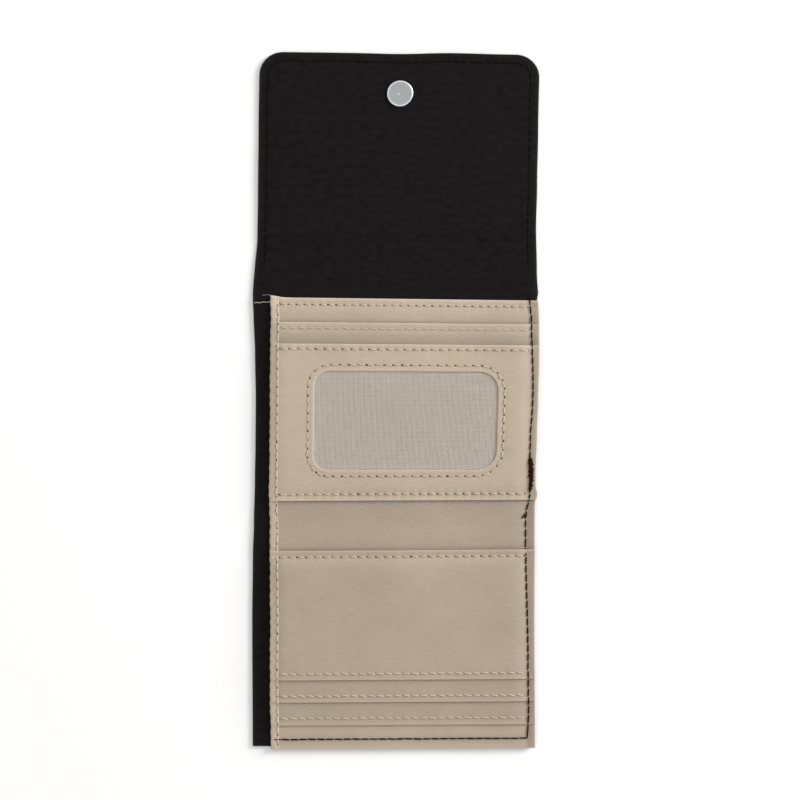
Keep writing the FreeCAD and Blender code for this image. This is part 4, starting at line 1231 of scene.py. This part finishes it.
def make_loose_threads():
    """The top row's thread runs on over the black strip, and a short end lies above it."""
    chance = np.random.default_rng(5)
    row_start = box("liner_top_thread")[0][0]
    x = np.linspace(LINER_LEFT + 0.5, row_start + 0.2, 40)
    y = ROWS["liner_top_thread"] + 1.0 + 0.13 * np.sin(x * 2.3) - 0.07 * (LINER_LEFT - x)
    y = y + chance.normal(0, 0.02, 40)
    z = lining_top(x, y) + 0.10 + 0.16 * np.abs(np.sin((x - row_start) * 1.35))
    z = z + 0.55 * between(x, LINER_LEFT - 1.2, LINER_LEFT)
    first = tube(np.column_stack([x, y, z]), 0.13)
    x = np.linspace(LINER_LEFT + 0.4, LINER_LEFT - 2.6, 14)
    y = FLAP_NEAR - 0.35 + 0.12 * np.sin(x * 2.1)
    second = tube(np.column_stack([x, y, lining_top(x, y) + 0.12]), 0.05)
    piece = mesh_piece("loose_thread", *gathered([first, second]), lie_black, BEIGE_THREAD)
    finish_piece(piece, "beige_thread", ["liner_top_thread"], "centre_half")


def flap_row_path():
    low = box("flap_edge_thread")[0]
    inset = low[0] + CAD_STITCH - FLAP_LEFT
    x0, x1, y1, start = FLAP_LEFT + inset, BODY_RIGHT - inset, FLAP_TIP - inset, low[1] + 0.3
    radius = FLAP_CORNER - inset
    turn = np.radians(np.linspace(0, 90, 14))
    out, back = radius - radius * np.cos(turn), radius - radius * np.sin(turn)
    path = np.concatenate([
        [(x1, start)], np.column_stack([x1 - out, y1 - back]), np.column_stack([x0 + back, y1 - out]),
        [(x0, start)],
    ])
    length = float(np.hypot(*np.diff(path, axis=0).T).sum())
    return resample(path, int(round(length / FLAP_PITCH)) + 1)


def outer_face(x, y):
    """The outer cloth's outer face, just under which its stitches lie."""
    return outer_top(x, y) - 0.45


def make_flap_row():
    """Black stitches along the flap's edge."""
    piece = stitch_row("flap_edge_stitches", [flap_row_path()], lining_top, 0.16, lie_black, BLACK_THREAD,
                       0.08, seed=51)
    finish_piece(piece, "black_thread", ["flap_edge_thread"], "flap")


def make_outer_stitches():
    """The black rows' other side, on the outer face: the thread's lower loops."""
    x = middle("centre_edge_thread")[0] + 0.4
    runs = {
        "flap": [flap_row_path()],
        "centre_half": [column_holes(x, BACK_FOLD + 0.6, FLAP_NEAR - 3, EDGE_PITCH)],
        "front_half": [column_holes(x, BOTTOM_ROW, FRONT_FOLD - 0.6, EDGE_PITCH),
                       row_holes(BOTTOM_ROW, LINER_LEFT, x, EDGE_PITCH)],
    }
    for body, rows in runs.items():
        piece = stitch_row(f"outer_stitches_{body}", rows, outer_face, 0.15, lie_black, BLACK_THREAD,
                           arch=0.03, sink=-0.2, slant=0.05, seed=61)
        finish_piece(piece, "black_thread", body=body)


def make_snap():
    low, high = box("snap_plate")
    radius = (high[0] - low[0]) / 2
    profile = [
        (0, -0.24), (0.3, -0.23), (0.55, -0.15), (0.75, -0.06), (1.0, -0.04), (1.25, -0.06), (1.45, -0.09),
        (1.65, -0.06), (3.0, -0.05), (3.9, -0.05), (4.15, -0.03), (4.35, 0), (4.55, -0.01),
        (radius - 0.12, -0.08), (radius - 0.03, -0.2), (radius, -0.4), (radius - 0.02, -0.75), (4.5, -0.95),
        (0, -0.95),
    ]
    piece = turned("snap_disc", SNAP, [(r, high[2] + z) for r, z in profile], lie_black, SNAP_METAL)
    finish_piece(piece, "snap_metal", ["snap_plate"], "flap")
    low, high = box("snap_plate_washer")
    wide = (high[0] - low[0]) / 2
    profile = [(0, high[2]), (wide - 0.1, high[2]), (wide, high[2] - 0.06), (wide, low[2]), (0, low[2])]
    washer = turned("snap_washer", SNAP, profile, lie_black, BACKING)
    finish_piece(washer, "snap_backing", ["snap_plate_washer"], "flap")


def make_magnet_case():
    low, high = box("magnet_case")
    radius = (high[0] - low[0]) / 2
    thick = high[2] - low[2] - 0.02
    profile = [
        (0, 0.15), (0.9, 0.15), (1.05, 0.12), (1.2, 0.04), (1.4, 0.005), (2.9, 0), (3.1, 0.03), (3.3, 0),
        (4.2, 0.01), (4.55, 0.06), (4.75, 0.17), (radius, 0.34), (radius, 0.66), (radius - 0.25, thick),
        (0, thick),
    ]
    piece = turned("magnet_case_shell", MAGNET, [(r, low[2] + z) for r, z in profile], lie_still, CASE_METAL)
    finish_piece(piece, "snap_metal", ["magnet_case"], "front_half")
    hidden = {"snap_magnet": MAGNET_GREY, "magnet_rivet": BACKING, "magnet_washer": BACKING}
    for node, material in hidden.items():
        materials = frame["nodes"][node].data.materials
        materials.clear()
        materials.append(material)


# ---- the studio ----


def make_studio():
    bpy.ops.mesh.primitive_plane_add(size=6.0, location=(0, 0, 0))
    floor = bpy.context.object
    floor.name = "floor"
    floor.data.materials.append(paper_floor("pale_floor"))
    world = bpy.data.worlds.new("studio")
    world.use_nodes = True
    fill(world.node_tree, world.node_tree.nodes["Background"], {"Color": grey(1.0), "Strength": 0.77})
    bpy.context.scene.world = world
    lamp = bpy.data.lights.new("key", "AREA")
    lamp.size = 0.9
    lamp.energy = 59.0
    lamp.color = (1.0, 0.985, 0.96)
    key = bpy.data.objects.new("key", lamp)
    key.location = (1.78, 0.92, 0.66)
    key.rotation_euler = (Vector((0, 0, 0)) - key.location).to_track_quat("-Z", "Y").to_euler()
    bpy.context.scene.collection.objects.link(key)
    bpy.context.scene.view_settings.view_transform = "Standard"


def make_camera():
    """Straight above the open wallet, with a long lens."""
    camera = bpy.data.cameras.new("camera")
    camera.lens = 100
    camera.sensor_width = 36
    seen = 0.296
    eye = bpy.data.objects.new("camera", camera)
    eye.location = (0.0011, -0.0001, 0.003 + seen * camera.lens / camera.sensor_width)
    bpy.context.scene.collection.objects.link(eye)
    bpy.context.scene.camera = eye


make_camera()
make_black_cloth("outer_cloth", BLACK, outer_top, 0.225, 0.0, "black_cloth", 1.2)
make_black_cloth("lining", LINING, lining_top, 0.125, 0.3, "black_lining", 0.9)
make_boards()
make_liner(make_hem())
make_pockets()
make_window_panel()
make_net()
make_beige_rows()
make_window_ring()
make_hem_rows()
make_edge_rows()
make_bartack()
make_loose_threads()
make_flap_row()
make_outer_stitches()
make_snap()
make_magnet_case()
make_studio()
